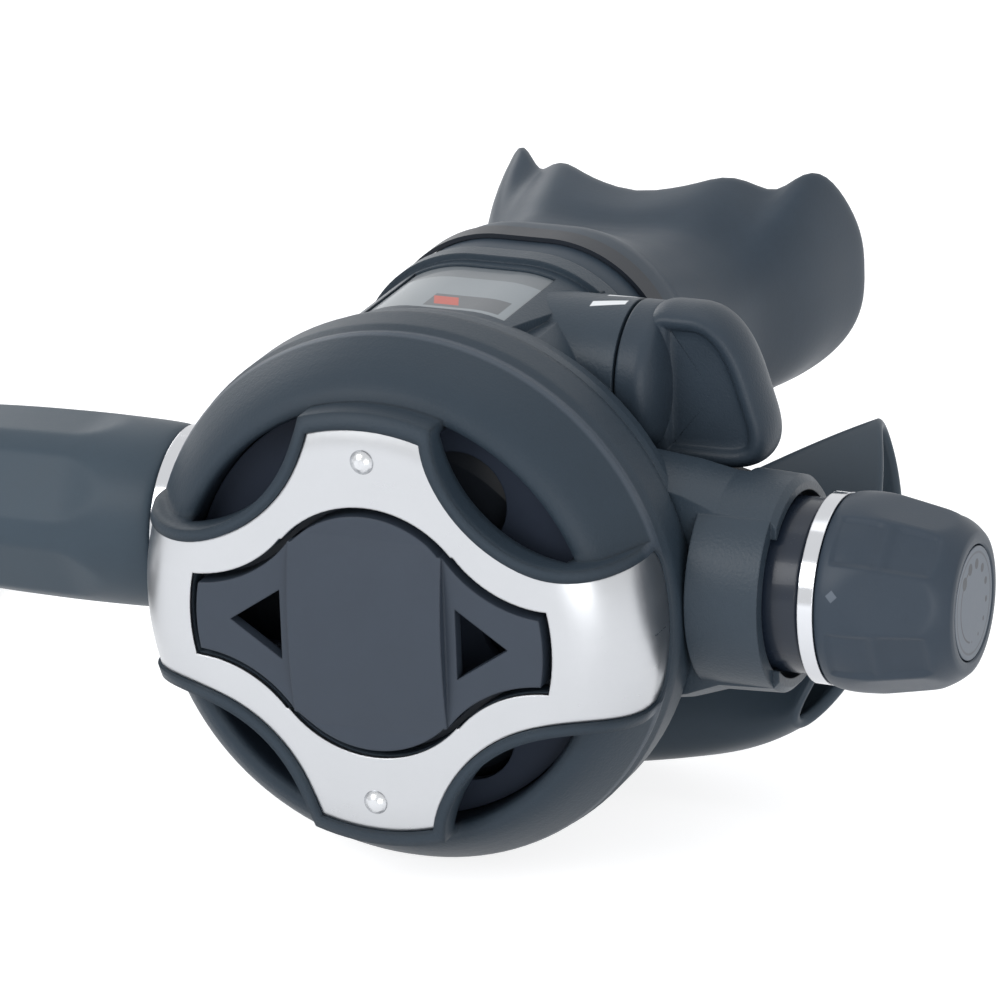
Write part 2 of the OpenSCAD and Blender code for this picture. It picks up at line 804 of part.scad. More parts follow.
module hose_ferrule() color([0.8, 0.81, 0.82]) on_barrel() difference() {
    bar(ferrule_r, ferrule_end, hose_nut_end);
    bar(air_r, ferrule_end - over, hose_nut_end + over);
}

// Rubber sleeve over the hose's fitting, with six shallow grip panels.
module hose_sleeve() color([0.33, 0.36, 0.4]) on_barrel() difference() {
    turned([
        [0, sleeve_start], [sleeve_r - 0.8, sleeve_start], [sleeve_r - 0.2, sleeve_start - 4],
        [sleeve_r, sleeve_start - 12], [sleeve_r - 0.4, -70], [sleeve_tail_r + 1, -92],
        [sleeve_tail_r, sleeve_end], [0, sleeve_end]
    ]);
    bar(hose_hex / 2 / cos(30) + 0.4, hose_nut_end - 0.4, sleeve_start + over);
    bar(ferrule_r + 0.2, ferrule_end, hose_nut_end + over);
    bar(hose_r + 0.15, sleeve_end - over, ferrule_end + over);
    for (k = [0:5]) rotate(k * 60 + 30) translate([sleeve_r - 0.7, -6, -72]) cube([3, 12, 26]);
}

// ---------------------------------------------------------------- case

// Turned shell of the case, as [radius, y].
case_outside = [
    [0, case_rim_y], [case_rim_r, case_rim_y], [case_rim_r, cover_depth + 0.2],
    [cover_r - 0.4, cover_depth + 0.2], [cover_r - 0.5, 19], [cover_r - 1.4, 22], [cover_r - 3.6, 26],
    [cover_r - 7.2, 29.5], [cover_r - 12, 32.8], [cover_r - 16.2, 35.4], [cover_r - 18, case_back_y],
    [0, case_back_y]
];
case_inside = [
    [0, case_rim_y - over], [cavity_r, case_rim_y - over], [cavity_r, 20], [cavity_r - 2, 24],
    [cavity_r - 5, 27.5], [cavity_r - 9, 30.8], [cavity_r - 13, 33], [cavity_r - 15, case_back_y - case_wall],
    [0, case_back_y - case_wall]
];

// Boss round the barrel, flared where it leaves the shell.
module boss(end) turned([
    [0, boss_root - 10], [boss_r - 3, boss_root - 10], [boss_r + 2.8, boss_root - 2],
    [boss_r + 2.8, boss_root + 2], [boss_r + 1.8, boss_root + 8], [boss_r + 0.3, boss_root + 12.5],
    [boss_r, end - 0.8], [boss_r - 0.8, end], [0, end]
]);

module case_solid() {
    facing_back() turned(case_outside);
    intersection() {
        on_barrel() {
            boss(boss_right);
            bar(boss_left_r, boss_left, 0);
        }
        translate([-2 * cover_r, cover_depth + 0.2, -cover_r]) cube([4 * cover_r, cover_r, 2 * cover_r]);
    }
    on_barrel() bar(boss_r, cover_r + face_gap, boss_right - 0.8);
    difference() {
        translate([0, 0, tube_z]) facing_back() union() {
            flat_bar(tube_half, tube_r, cover_depth + 0.2, tube_rim_y + tube_rim_w);
            flat_bar(tube_half, spigot_r, cover_depth + 0.2, tube_end);
            flat_bar(tube_half, tube_r + tube_rim_rise, tube_rim_y, tube_rim_y + tube_rim_w);
        }
        translate([step_x, cover_depth, step_z]) rotate(step_turn) cube([2 * tube_r, 26, tube_r]);
    }
    on_lever() bar(lever_hub_r, 4, lever_boss_end);
    translate([0, 0, port_z]) facing_back() bar(port_collar_r, 27, port_web_y + port_web_t);
    translate([0, 0, port_z]) facing_back() ring(port_r + 0.6, port_r - 0.6, port_web_y, port_web_y + port_web_t + port_lip);
}

module case() color([0.26, 0.29, 0.33]) difference() {
    case_solid();
    facing_back() turned(case_inside);
    on_barrel() {
        bar(barrel_r + run_fit, boss_left - over, boss_right + over);
        bar(nut_recess_r, barrel_right, boss_right + over);
        bar(inlet_hub_r + 0.2, boss_left - over, barrel_left);
    }
    translate([0, 0, tube_z]) facing_back() flat_bar(tube_half, tube_bore_r, tube_bore_y, tube_end + over);
    on_lever() {
        bar(lever_hub_r + face_gap, lever_boss_end, paddle_x);
        bar(norm([paddle_h / 2 + paddle_drop, paddle_t / 2]) + face_gap, paddle_x - face_gap, paddle_end + over);
        bar(vane_r + run_fit, 0, lever_boss_end + over);
        bar(vane_r + 2 * o_ring_r + 0.1, vane_groove_x - o_ring_r - 0.1, vane_groove_x + o_ring_r + 0.1);
    }
    translate([0, 0, port_z]) facing_back() {
        bar(port_r, case_back_y - 10, port_web_y);
        for (k = [0:port_holes - 1]) rotate(k * 360 / port_holes) translate([port_ring_r, 0, 0])
            bar(port_hole_r, port_web_y - over, port_web_y + port_web_t + over);
        bar(port_stem_r + seat_fit, port_web_y - over, port_web_y + port_web_t + over);
    }
    intersection() {
        translate([0, 0, tube_z]) facing_back()
            flat_ring(tube_half, tube_r + over, tube_r - label_sink - label_t - 0.05, label_y0 - 0.2, label_y1 + 0.2);
        translate([label_x0 - 0.2, label_y0 - 0.2, tube_z]) cube([label_x1 - label_x0 + 0.4, label_y1 - label_y0 + 0.4, 2 * tube_r]);
    }
}

module label_plate() color([0.7, 0.71, 0.72]) intersection() {
    translate([0, 0, tube_z]) facing_back()
        flat_ring(tube_half, tube_r - label_sink, tube_r - label_sink - label_t, label_y0, label_y1);
    translate([label_x0, label_y0, tube_z]) cube([label_x1 - label_x0, label_y1 - label_y0, 2 * tube_r]);
}

// ---------------------------------------------------------------- venturi lever

// Outline of the paddle seen from the front: its round outer edge leans outwards
// towards the bottom.
module paddle_outline(inset) {
    r = paddle_round - inset;
    half = paddle_h / 2 - paddle_round;
    top = paddle_end - paddle_round - paddle_slant;
    low = paddle_end - paddle_round;
    tilt = atan2(paddle_slant, 2 * half);
    polygon([
        [paddle_x + inset, half + r], [top, half + r], [top + r * cos(tilt), half + r * sin(tilt)],
        [low + r * cos(tilt), -half + r * sin(tilt)], [low, -half - r], [paddle_x + inset, -half - r]
    ]);
    translate([top, half]) circle(r);
    translate([low, -half]) circle(r);
}

module venturi_lever() color([0.27, 0.3, 0.34]) difference() {
    union() {
        on_lever() turned([
            [0, lever_x], [lever_hub_r, lever_x], [lever_hub_r, lever_x + hub_w - 1],
            [lever_hub_r - 1.5, lever_x + hub_w], [0, lever_x + hub_w]
        ]);
        translate([0, lever_y, lever_z - paddle_drop]) slab(-paddle_t / 2, paddle_t / 2) paddle_outline(0);
    }
    translate([0, lever_y, lever_z - paddle_drop]) for (s = [-1, 1])
        slab(s > 0 ? paddle_t / 2 - paddle_sink : -paddle_t / 2 - over, s > 0 ? paddle_t / 2 + over : -paddle_t / 2 + paddle_sink)
            difference() {
                paddle_outline(paddle_rim);
                translate([lever_x, -paddle_h]) square([hub_w + 1.2, 2 * paddle_h]);
            }
    on_lever() bar(vane_r + seat_fit, lever_x - over, lever_x + 3);
}

module venturi_vane() color([0.27, 0.3, 0.34]) {
    on_lever() bar(vane_r, vane_half - over, lever_x + 3 - seat_fit);
    translate([-vane_half, lever_y - vane_w, lever_z - vane_t / 2]) cube([2 * vane_half, 2 * vane_w, vane_t]);
}

module vane_o_ring() color([0.1, 0.1, 0.1]) on_lever() o_ring(vane_r + o_ring_r + 0.03, vane_groove_x);

// ---------------------------------------------------------------- exhaust

module exhaust_valve() color([0.14, 0.15, 0.17]) translate([0, 0, port_z]) facing_back() {
    top = port_web_y + port_web_t + port_lip;
    bar(valve_r, top, top + valve_t);
    bar(port_stem_r, port_web_y - 1.5, top + 0.2);
    turned([[0, port_web_y - 4], [0.7, port_web_y - 4], [2, port_web_y - 0.2], [0, port_web_y - 0.2]]);
}

// Share of the way from the middle to the outlet, which grows faster towards its end.
function tee_share(x) = pow(min(1, abs(x) / tee_half), tee_flare);

// Loop of the tee's section at x, shrunk by an inset.
function tee_loop(x, inset) =
    let (
        s = tee_share(x),
        yc = tee_middle[0] + (tee_outlet[0] - tee_middle[0]) * s,
        q = tee_middle[1] + (tee_outlet[1] - tee_middle[1]) * s - inset,
        p = tee_middle[2] + (tee_outlet[2] - tee_middle[2]) * s - inset,
        zc = floor_z + tee_middle[1] + (tee_outlet_z - floor_z - tee_middle[1]) * s,
        lean = tee_lean * s,
        n = tee_power + (tee_outlet_power - tee_power) * s,
        side = x < 0 ? -1 : 1
    )
    [
        for (k = [0:tee_sides - 1])
            let (
                a = k * 360 / tee_sides,
                c = cos(a),
                v = sin(a),
                dy = p * sign(c) * pow(abs(c), 2 / n),
                dz = q * sign(v) * pow(abs(v), 2 / n)
            )
            [
                x + side * s * (tee_bulge * (1 - pow(dz / q, 2)) + tee_splay * dz / q),
                yc + dy * cos(lean) + dz * sin(lean),
                zc + dz * cos(lean) - dy * sin(lean)
            ]
    ];

module exhaust_tee() color([0.25, 0.28, 0.32]) difference() {
    skin(concat(
        [for (i = [-tee_steps:tee_steps]) tee_loop(i * tee_half / tee_steps, 0)],
        [for (i = [tee_steps:-1:-tee_steps]) tee_loop(i * tee_half / tee_steps, tee_wall)]
    ));
    translate([0, 0, port_z]) facing_back() bar(port_collar_r + 0.2, case_back_y, tee_middle[0]);
}

// ---------------------------------------------------------------- mouthpiece

// Height added to the shield's top edge: a low middle, two lobes, a notch and a horn each side.
function top_wave(x) = let (u = abs(x) / shield_a)
    -1.5 * exp(-pow(u / 0.26, 2)) + 1.4 * exp(-pow((u - 0.46) / 0.14, 2))
    - 1 * exp(-pow((u - 0.66) / 0.09, 2)) + 6.4 * exp(-pow((u - 0.85) / 0.13, 2));

// Loop of a section: y of its middle, half sizes beyond a flat middle, centre
// height, share of the shield's waves and sweep, and the powers of its outline
// above and below the centre.
function mouth_loop(y, half, a, b, z, wave, power, low) = [
    for (k = [0:mouth_sides - 1])
        let (
            t = k * 360 / mouth_sides,
            n = sin(t) < 0 ? low : power,
            x = half * sign(cos(t)) + a * sign(cos(t)) * pow(abs(cos(t)), 2 / n),
            h = b * sign(sin(t)) * pow(abs(sin(t)), 2 / n)
        )
        [x, y + wave * shield_sweep * pow(x / shield_a, 2), z + h + (h > 0 ? wave * top_wave(x) * h / b : 0)]
];

module bite_tab() translate([bite_x, 0, shield_z]) {
    translate([-bite_w / 2, bite_root + 4, -bite_h / 2]) cube([bite_w, bite_end - bite_root - 4, 2.2]);
    translate([-bite_w / 2, bite_end - 3, -bite_h / 2]) cube([bite_w, 3, bite_h]);
    translate([-bite_w / 2, bite_root + 4, -bite_h / 2]) cube([2.4, bite_end - bite_root - 4, bite_h]);
}

module mouthpiece() color([0.24, 0.26, 0.3]) {
    fit_r = spigot_r + seat_fit;
    half = tube_half;
    skin([
        mouth_loop(collar_y, half, fit_r, fit_r, tube_z, 0, 2, 2),
        mouth_loop(collar_y, half, collar_r - 0.6, collar_r - 0.6, tube_z, 0, 2, 2),
        mouth_loop(collar_y + 0.8, half, collar_r, collar_r, tube_z, 0, 2, 2),
        mouth_loop(57, half, collar_r, collar_r, tube_z, 0, 2, 2),
        mouth_loop(61, half, collar_r - 0.6, collar_r - 0.8, tube_z - 0.4, 0, 2, 2),
        mouth_loop(66, half, collar_r - 0.7, collar_r - 2.2, tube_z - 1.1, 0.05, 2, 2.2),
        mouth_loop(72, half, collar_r - 0.4, collar_r - 3.6, tube_z - 1.8, 0.2, 2, 2.4),
        mouth_loop(78, half, collar_r + 0.6, collar_r - 4, tube_z - 2.4, 0.4, 2.2, 2.8),
        mouth_loop(83, 0, shield_a - 3, shield_b - 1.2, shield_z, 0.65, 2.5, 3.2),
        mouth_loop(87, 0, shield_a - 0.8, shield_b - 0.3, shield_z, 0.9, shield_power, shield_low),
        mouth_loop(shield_y - 0.6, 0, shield_a, shield_b, shield_z, 1, shield_power, shield_low),
        mouth_loop(shield_y + 0.8, 0, shield_a - 0.3, shield_b - 0.3, shield_z, 1, shield_power, shield_low),
        mouth_loop(shield_y + 1, 0, shield_a - 2, shield_b - 1.6, shield_z, 0.95, shield_power, shield_low),
        mouth_loop(shield_y - 1.2, 0, shield_a - 6, shield_b - 4, shield_z, 0.7, 2.4, 3),
        mouth_loop(shield_y - 2.4, 0, airway_a + 1, airway_b + 0.6, shield_z, 0.3, 2.3, 2.3),
        mouth_loop(shield_y - 4.5, 0, airway_a, airway_b, shield_z, 0, 2.3, 2.3),
        mouth_loop(76, 0, airway_a + 1, airway_b + 1, shield_z + 0.5, 0, 2.2, 2.2),
        mouth_loop(65, half, tube_bore_r - 1.5, tube_bore_r - 2.5, tube_z - 1, 0, 2, 2),
        mouth_loop(tube_end + 3, half, tube_bore_r, tube_bore_r, tube_z, 0, 2, 2),
        mouth_loop(tube_end + 0.2, half, tube_bore_r, tube_bore_r, tube_z, 0, 2, 2),
        mouth_loop(tube_end + 0.2, half, fit_r, fit_r, tube_z, 0, 2, 2)
    ]);
    for (s = [0, 1]) mirror([s, 0, 0]) bite_tab();
}

module mouthpiece_strap() color([0.2, 0.22, 0.25]) translate([0, 0, tube_z]) facing_back() {
    flat_ring(tube_half, collar_r + seat_fit + strap_t, collar_r + seat_fit, strap_y, strap_y + strap_w);
    translate([-3, collar_r + seat_fit + 0.2, strap_y - 0.4]) cube([6, 2, strap_w + 0.8]);
}

// ---------------------------------------------------------------- hose

// A point behind the barrel's axis at a height above the surface, in the cover frame.
function laid(p) = [p[0], barrel_y + p[1], floor_z + p[2]];

function coil_r(a) = coil_start_r + coil_pitch * a / 360;
function coil_height(a) = hose_r + (a < coil_rise_from ? 0
    : (end_height - hose_r) / 2 * (1 - cos(180 * (a - coil_rise_from) / (coil_to - coil_rise_from))));
function coil_point(a) = laid([
    coil_centre[0] - coil_r(a) * sin(a), coil_centre[1] - coil_r(a) * cos(a), coil_height(a)
]);
// Level direction of the coil at an angle: along its turn, and a little outwards.
function coil_heading(a) =
    let (out = coil_pitch / 2 / PI)
    unit([-coil_r(a) * cos(a) - out * sin(a), coil_r(a) * sin(a) - out * cos(a), 0]);

coil_angles = [for (a = [coil_from:360 / coil_rings:coil_to]) a];
coil_end = coil_point(coil_to) + end_straight * coil_heading(coil_to);
coil_path = concat([for (a = coil_angles) coil_point(a)], [coil_end]);

// Least gap between two turns of the coil, on its own points.
coil_self_gap = min([
    for (a = coil_angles, b = coil_angles) if (b - a >= 90) norm(coil_point(a) - coil_point(b)) - hose_d
]);
echo(coil_self_gap = coil_self_gap);

module hose_run() color([0.13, 0.14, 0.16]) loft(tube_loops(
    [for (p = hose_route) laid([p[0], p[1], hose_r + (axis_height - hose_r) * p[2]])], [-1, 0, 0], coil_heading(coil_from), hose_r, hose_sides));

module hose_coil() color([0.13, 0.14, 0.16]) loft(concat(
    [for (a = coil_angles) tube_loop(coil_point(a), coil_heading(a), hose_r, coil_sides)],
    [tube_loop(coil_end, coil_heading(coil_to), hose_r, coil_sides)]));

// Strap round the two turns that lie side by side.
module hose_tie() color([0.1, 0.1, 0.11]) {
    mid = (coil_point(tie_angle) + coil_point(tie_angle + 360)) / 2;
    dir = coil_heading(tie_angle);
    half = coil_pitch / 2;
    translate([mid[0], mid[1], floor_z + hose_r]) rotate([0, 0, atan2(dir[1], dir[0]) + 90]) rotate([90, 0, 0])
        translate([0, 0, -tie_w / 2]) linear_extrude(tie_w) difference() {
            union() {
                for (s = [-1, 1]) translate([s * half, 0]) circle(hose_r + tie_gap + tie_t);
                translate([-half, -hose_r + 0.1]) square([2 * half, 2 * hose_r + tie_gap + tie_t - 0.1]);
            }
            for (s = [-1, 1]) translate([s * half, 0]) circle(hose_r + tie_gap);
            square([2 * half, 2 * (hose_r + tie_gap)], center = true);
            translate([-2 * coil_pitch, -3 * hose_r + 0.1]) square([4 * coil_pitch, 2 * hose_r]);
        }
}

// Turns Z-pointing children to point along the hose's far end.
module on_end() translate(coil_end)
    rotate([0, 0, atan2(coil_heading(coil_to)[1], coil_heading(coil_to)[0])]) rotate([0, 90, 0]) children();

module end_ferrule() color([0.8, 0.81, 0.82]) on_end() ring(end_ferrule_r, 2.5, 0, end_ferrule_len);

stem_x = end_ferrule_len + end_hex_len;

module end_fitting() color([0.8, 0.81, 0.82]) on_end() difference() {
    union() {
        translate([0, 0, end_ferrule_len]) rotate(30) cylinder(d = end_hex / cos(30), h = end_hex_len, $fn = 6);
        bar(stem_d / 2, stem_x - over, stem_x + stem_len);
        bar(end_nose_r, stem_x + stem_len - over, stem_x + stem_len + end_nose_len);
    }
    bar(2.5, end_ferrule_len - over, stem_x + stem_len + end_nose_len + over);
    ring(end_nose_r + over, end_nose_r - 0.9, stem_x + stem_len + 1.6, stem_x + stem_len + 3.4);
}

module end_o_rings() color([0.1, 0.1, 0.1]) on_end() o_ring(end_nose_r - 0.25, stem_x + stem_len + 2.5);

// ---------------------------------------------------------------- parts

placed() case();
placed() front_cover();
placed() trim_plate();
placed() trim_rivets();
placed() cover_spider();
placed() purge_button();
placed() purge_spring();
placed() diaphragm();
placed() diaphragm_disc();
placed() demand_lever();
placed() valve_barrel();
placed() inlet_orifice();
placed() orifice_o_ring();
placed() poppet();
placed() poppet_seat();
placed() poppet_spring();
placed() spring_pad();
placed() adjust_spindle();
placed() spindle_o_ring();
placed() packing_nut();
placed() adjust_knob();
placed() knob_ring();
placed() knob_cap();
placed() inlet_nut();
placed() hose_nut();
placed() hose_ferrule();
placed() hose_sleeve();
placed() venturi_lever();
placed() venturi_vane();
placed() vane_o_ring();
placed() label_plate();
placed() exhaust_valve();
placed() exhaust_tee();
placed() mouthpiece();
placed() mouthpiece_strap();
placed() hose_run();
placed() hose_coil();
placed() hose_tie();
placed() end_ferrule();
placed() end_fitting();
placed() end_o_rings();
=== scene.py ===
"""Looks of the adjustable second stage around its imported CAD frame.

The script loads the frame, makes the camera and the free hose first, then the
soft and gripped pieces that the CAD holds as plain solids, then every finish,
and last the light and the floor.
"""

import logging
import math
from dataclasses import dataclass
from enum import Enum
from typing import Callable, Optional, Sequence, Union

import bmesh
import bpy
import numpy as np
from mathutils import Matrix, Vector


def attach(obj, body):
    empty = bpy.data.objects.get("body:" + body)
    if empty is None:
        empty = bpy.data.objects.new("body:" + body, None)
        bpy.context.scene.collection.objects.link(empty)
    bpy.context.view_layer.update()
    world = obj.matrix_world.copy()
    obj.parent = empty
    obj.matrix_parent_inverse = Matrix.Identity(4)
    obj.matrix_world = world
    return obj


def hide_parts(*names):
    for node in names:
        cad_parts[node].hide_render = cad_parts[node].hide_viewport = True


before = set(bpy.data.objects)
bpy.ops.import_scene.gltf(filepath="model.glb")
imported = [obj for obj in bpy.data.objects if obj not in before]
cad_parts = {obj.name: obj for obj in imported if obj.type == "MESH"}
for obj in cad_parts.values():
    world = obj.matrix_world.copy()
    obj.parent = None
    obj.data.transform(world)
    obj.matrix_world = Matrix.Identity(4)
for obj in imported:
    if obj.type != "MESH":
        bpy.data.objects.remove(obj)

logging.basicConfig(level=logging.INFO, format="%(name)s: %(message)s")
LOG = logging.getLogger("scene")
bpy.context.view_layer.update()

# The CAD draws the regulator about the centre of its cover opening, in
# millimetres: +X to the knob, +Y back to the mouthpiece, +Z up. ORIGIN is that
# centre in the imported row's frame.
ORIGIN = np.array([14.975, -54.2, 35.9])
MM = 0.001
MERGE = 1e-6

Number = Union[float, "Wire"]
Colour = tuple[float, float, float]
Skin = tuple[np.ndarray, list[list[int]]]


def placed(points: np.ndarray) -> np.ndarray:
    """Moves points from the cover frame in millimetres to the row frame in metres.

    Args:
        points: Array of shape (..., 3).

    Returns:
        An array of the same shape.
    """
    return (np.asarray(points, float) + ORIGIN) * MM


def linear(red: float, green: float, blue: float) -> Colour:
    """Turns a colour of 0 to 255 as seen on a screen into the shader's linear one."""
    return tuple(((c / 255 + 0.055) / 1.055) ** 2.4 if c > 10 else c / 255 / 12.92 for c in (red, green, blue))


# ---- shader graph


@dataclass(frozen=True)
class Wire:
    """A shader socket that adds, multiplies and compares like a number.

    Attributes:
        graph: The graph it belongs to.
        socket: The output it stands for.
    """

    graph: "Graph"
    socket: bpy.types.NodeSocket

    def __add__(self, other: Number) -> "Wire":
        """Sum of two values."""
        return self.graph.math("ADD", self, other)

    def __sub__(self, other: Number) -> "Wire":
        """This value less the other."""
        return self.graph.math("SUBTRACT", self, other)

    def __rsub__(self, other: Number) -> "Wire":
        """The other value less this one."""
        return self.graph.math("SUBTRACT", other, self)

    def __mul__(self, other: Number) -> "Wire":
        """Product of two values."""
        return self.graph.math("MULTIPLY", self, other)

    def __abs__(self) -> "Wire":
        """The value without its sign."""
        return self.graph.math("ABSOLUTE", self)

    def __pow__(self, other: Number) -> "Wire":
        """The value raised to a power."""
        return self.graph.math("POWER", self, other)

    def least(self, other: Number) -> "Wire":
        """The lower of two values."""
        return self.graph.math("MINIMUM", self, other)

    def most(self, other: Number) -> "Wire":
        """The higher of two values."""
        return self.graph.math("MAXIMUM", self, other)

    def step(self, low: float, high: float) -> "Wire":
        """Rises smoothly from zero to one.

        Args:
            low: Value where it is zero.
            high: Value where it is one; it may be the lower of the two.

        Returns:
            The share of the way, along a cubic.
        """
        node = self.graph.node(
            "ShaderNodeMapRange",
            {"interpolation_type": "SMOOTHSTEP"},
            {"Value": self, "From Min": min(low, high), "From Max": max(low, high)},
        )
        rise = self.graph.wire(node, "Result")
        return 1.0 - rise if high < low else rise

    def within(self, middle: float, half: float, soft: float = 0.08) -> "Wire":
        """One where the value lies within half of the middle, with soft ends."""
        return abs(self - middle).step(half + soft, half - soft)


class Graph:
    """The node tree of one material, or of the world."""

    def __init__(self, name: str = "", tree: Optional[bpy.types.NodeTree] = None) -> None:
        """Empties a new material's tree, or the given one.

        Args:
            name: Name of the new material.
            tree: The tree to fill in place of a material's.
        """
        self.material: Optional[bpy.types.Material] = None
        if tree is None:
            self.material = bpy.data.materials.new(name)
            self.material.use_nodes = True
            tree = self.material.node_tree
        self.tree = tree
        self.tree.nodes.clear()
        self._place: Optional[Wire] = None

    def node(self, kind: str, settings: Optional[dict] = None, inputs: Optional[dict] = None) -> bpy.types.Node:
        """Makes a node, sets its properties and fills or links its inputs.

        Args:
            kind: Blender's name of the node type.
            settings: Property names and values.
            inputs: Input names or numbers, with numbers, colours or Wires.

        Returns:
            The node.
        """
        made = self.tree.nodes.new(kind)
        for key, value in (settings or {}).items():
            setattr(made, key, value)
        for key, value in (inputs or {}).items():
            socket = made.inputs[key]
            if isinstance(value, Wire):
                self.tree.links.new(value.socket, socket)
            elif isinstance(value, tuple) and len(value) == 3 and socket.type == "RGBA":
                socket.default_value = (*value, 1.0)
            else:
                socket.default_value = value
        return made

    def wire(self, node: bpy.types.Node, output: Union[str, int] = 0) -> Wire:
        """Wraps one output of a node."""
        return Wire(self, node.outputs[output])

    def math(self, operation: str, *values: Number) -> Wire:
        """Applies one math operation to numbers and Wires."""
        return self.wire(self.node("ShaderNodeMath", {"operation": operation}, dict(enumerate(values))))

    @property
    def place(self) -> Wire:
        """The point being shaded, in metres in the row frame.

        Returns:
            The point, from one node that the whole graph shares.
        """
        if self._place is None:
            self._place = self.wire(self.node("ShaderNodeTexCoord"), "Object")
        return self._place

    def axes(self) -> tuple[Wire, Wire, Wire]:
        """X, Y and Z in the cover frame, in millimetres."""
        split = self.node("ShaderNodeSeparateXYZ", inputs={0: self.place})
        return tuple(self.wire(split, i) * (1 / MM) - float(ORIGIN[i]) for i in range(3))

    def noise(self, size: float, detail: float = 2.0, rough: float = 0.5, where: Optional[Wire] = None) -> Wire:
        """Noise whose features are about size metres wide."""
        inputs = {"Vector": where or self.place, "Scale": 1 / size, "Detail": detail, "Roughness": rough}
        return self.wire(self.node("ShaderNodeTexNoise", inputs=inputs), 0)

    def mix(self, share: Number, low: Union[Colour, Wire], high: Union[Colour, Wire]) -> Wire:
        """Blends two colours."""
        node = self.node("ShaderNodeMix", {"data_type": "RGBA"}, {0: share, 6: low, 7: high})
        return self.wire(node, 2)

    def stretched(self, x: float, y: float, z: float) -> Wire:
        """The point being shaded, with each axis scaled."""
        return self.wire(self.node("ShaderNodeMapping", inputs={0: self.place, 3: (x, y, z)}), 0)


# ---- finishes


@dataclass
class Painter:
    """Lays markings, painted highlights and painted shade over a finish by place, in the cover frame's millimetres.

    Attributes:
        graph: The material's graph.
        colour: Base colour so far.
        rough: Roughness so far.
    """

    graph: Graph
    colour: Wire
    rough: Number

    def lay(self, share: Wire, red: float, green: float, blue: float) -> None:
        """Covers a share of the surface with a colour of 0 to 255."""
        self.colour = self.graph.mix(share, self.colour, linear(red, green, blue))

    def label(self) -> None:
        """Silver label with a grey rear strip, a dark block and a slanted red accent; it carries no lettering."""
        x, y, _ = self.graph.axes()
        block_x, block_y, slant = 2, 25.8, 0.4
        self.lay(y.step(35.1, 35.3), 98, 104, 109)
        self.lay(x.within(block_x, 5.2) * y.within(block_y, 2.4) * 0.8, 60, 64, 70)
        lean = x + (y - block_y) * slant
        self.lay(lean.within(-0.9, 1.7) * y.within(block_y, 1.5), 178, 66, 48)

    def case(self) -> None:
        """Two white setting marks on top of the lever's boss, slanted, the front one thicker."""
        x, y, z = self.graph.axes()
        start, slant = 16.3, 0.28
        across = y - (x - start) * slant
        first = x.within(18.4, 2.2) * across.within(33.1, 0.65)
        second = x.within(18.9, 1.8) * across.within(36.6, 0.5)
        self.lay(first.most(second) * z.step(29.5, 29.8), 226, 228, 230)

    def cover(self) -> None:
        """A painted highlight, a fine pale line round the cover's face near the crest of its rim, and painted shade
        that darkens the inside of the opening.
        """
        x, y, z = self.graph.axes()
        radius = (x * x + z * z) ** 0.5
        # painted highlight: a fine pale line round the face near its outer edge, also a little glossier there
        ridge_highlight = radius.within(35.5, 0.18, 0.12) * y.step(10.2, 9.6)
        # painted shade: the inner wall of the opening, behind the face, is darkened
        inside = radius.step(28.4, 27.9) * y.step(-1.0, -0.2)
        self.lay(ridge_highlight * 0.35, 96, 104, 115)
        self.lay(inside * 0.8, 24, 30, 40)
        self.rough = self.rough - ridge_highlight * 0.1

    def knob(self) -> None:
        """A painted highlight: one small pale diamond on the knob's collar end."""
        x, y, z = self.graph.axes()
        away = abs(x - 55.3) + abs(z - 4.6)
        # painted highlight: a small pale diamond on the collar end
        self.lay(away.step(0.85, 0.7) * y.step(25, 24), 92, 100, 110)

    def knob_cap(self) -> None:
        """A ring, a row of growing dark dots on a circle and a thin arc on the knob's end."""
        _, y, z = self.graph.axes()
        across, up = y - 25.5, z - 1.0
        radius = (across * across + up * up) ** 0.5
        circle, pitch, first = 5, 29, -100
        marks: Number = 0.0
        for i in range(9):
            angle = math.radians(pitch * i + first)
            dot = 0.14 + 0.09 * i
            right, above = across - circle * math.cos(angle), up - circle * math.sin(angle)
            away = (right**2.0 + above**2.0) ** 0.5
            marks = away.step(dot + 0.06, dot - 0.06) + marks
        arc = radius.within(circle, 0.12, 0.06) * across.step(-1.4, -1.9)
        ring = radius.within(6.5, 0.14, 0.08)
        self.lay((marks + arc + ring * 0.6).least(1.0) * 0.95, 32, 37, 45)

    def plate(self) -> None:
        """Satin sheet with faint lengthwise polishing streaks."""
        streak = self.graph.noise(0.0006, 2.0, 0.6, self.graph.stretched(0.03, 0.03, 1.0))
        self.rough = self.rough + (streak - 0.5) * 0.08


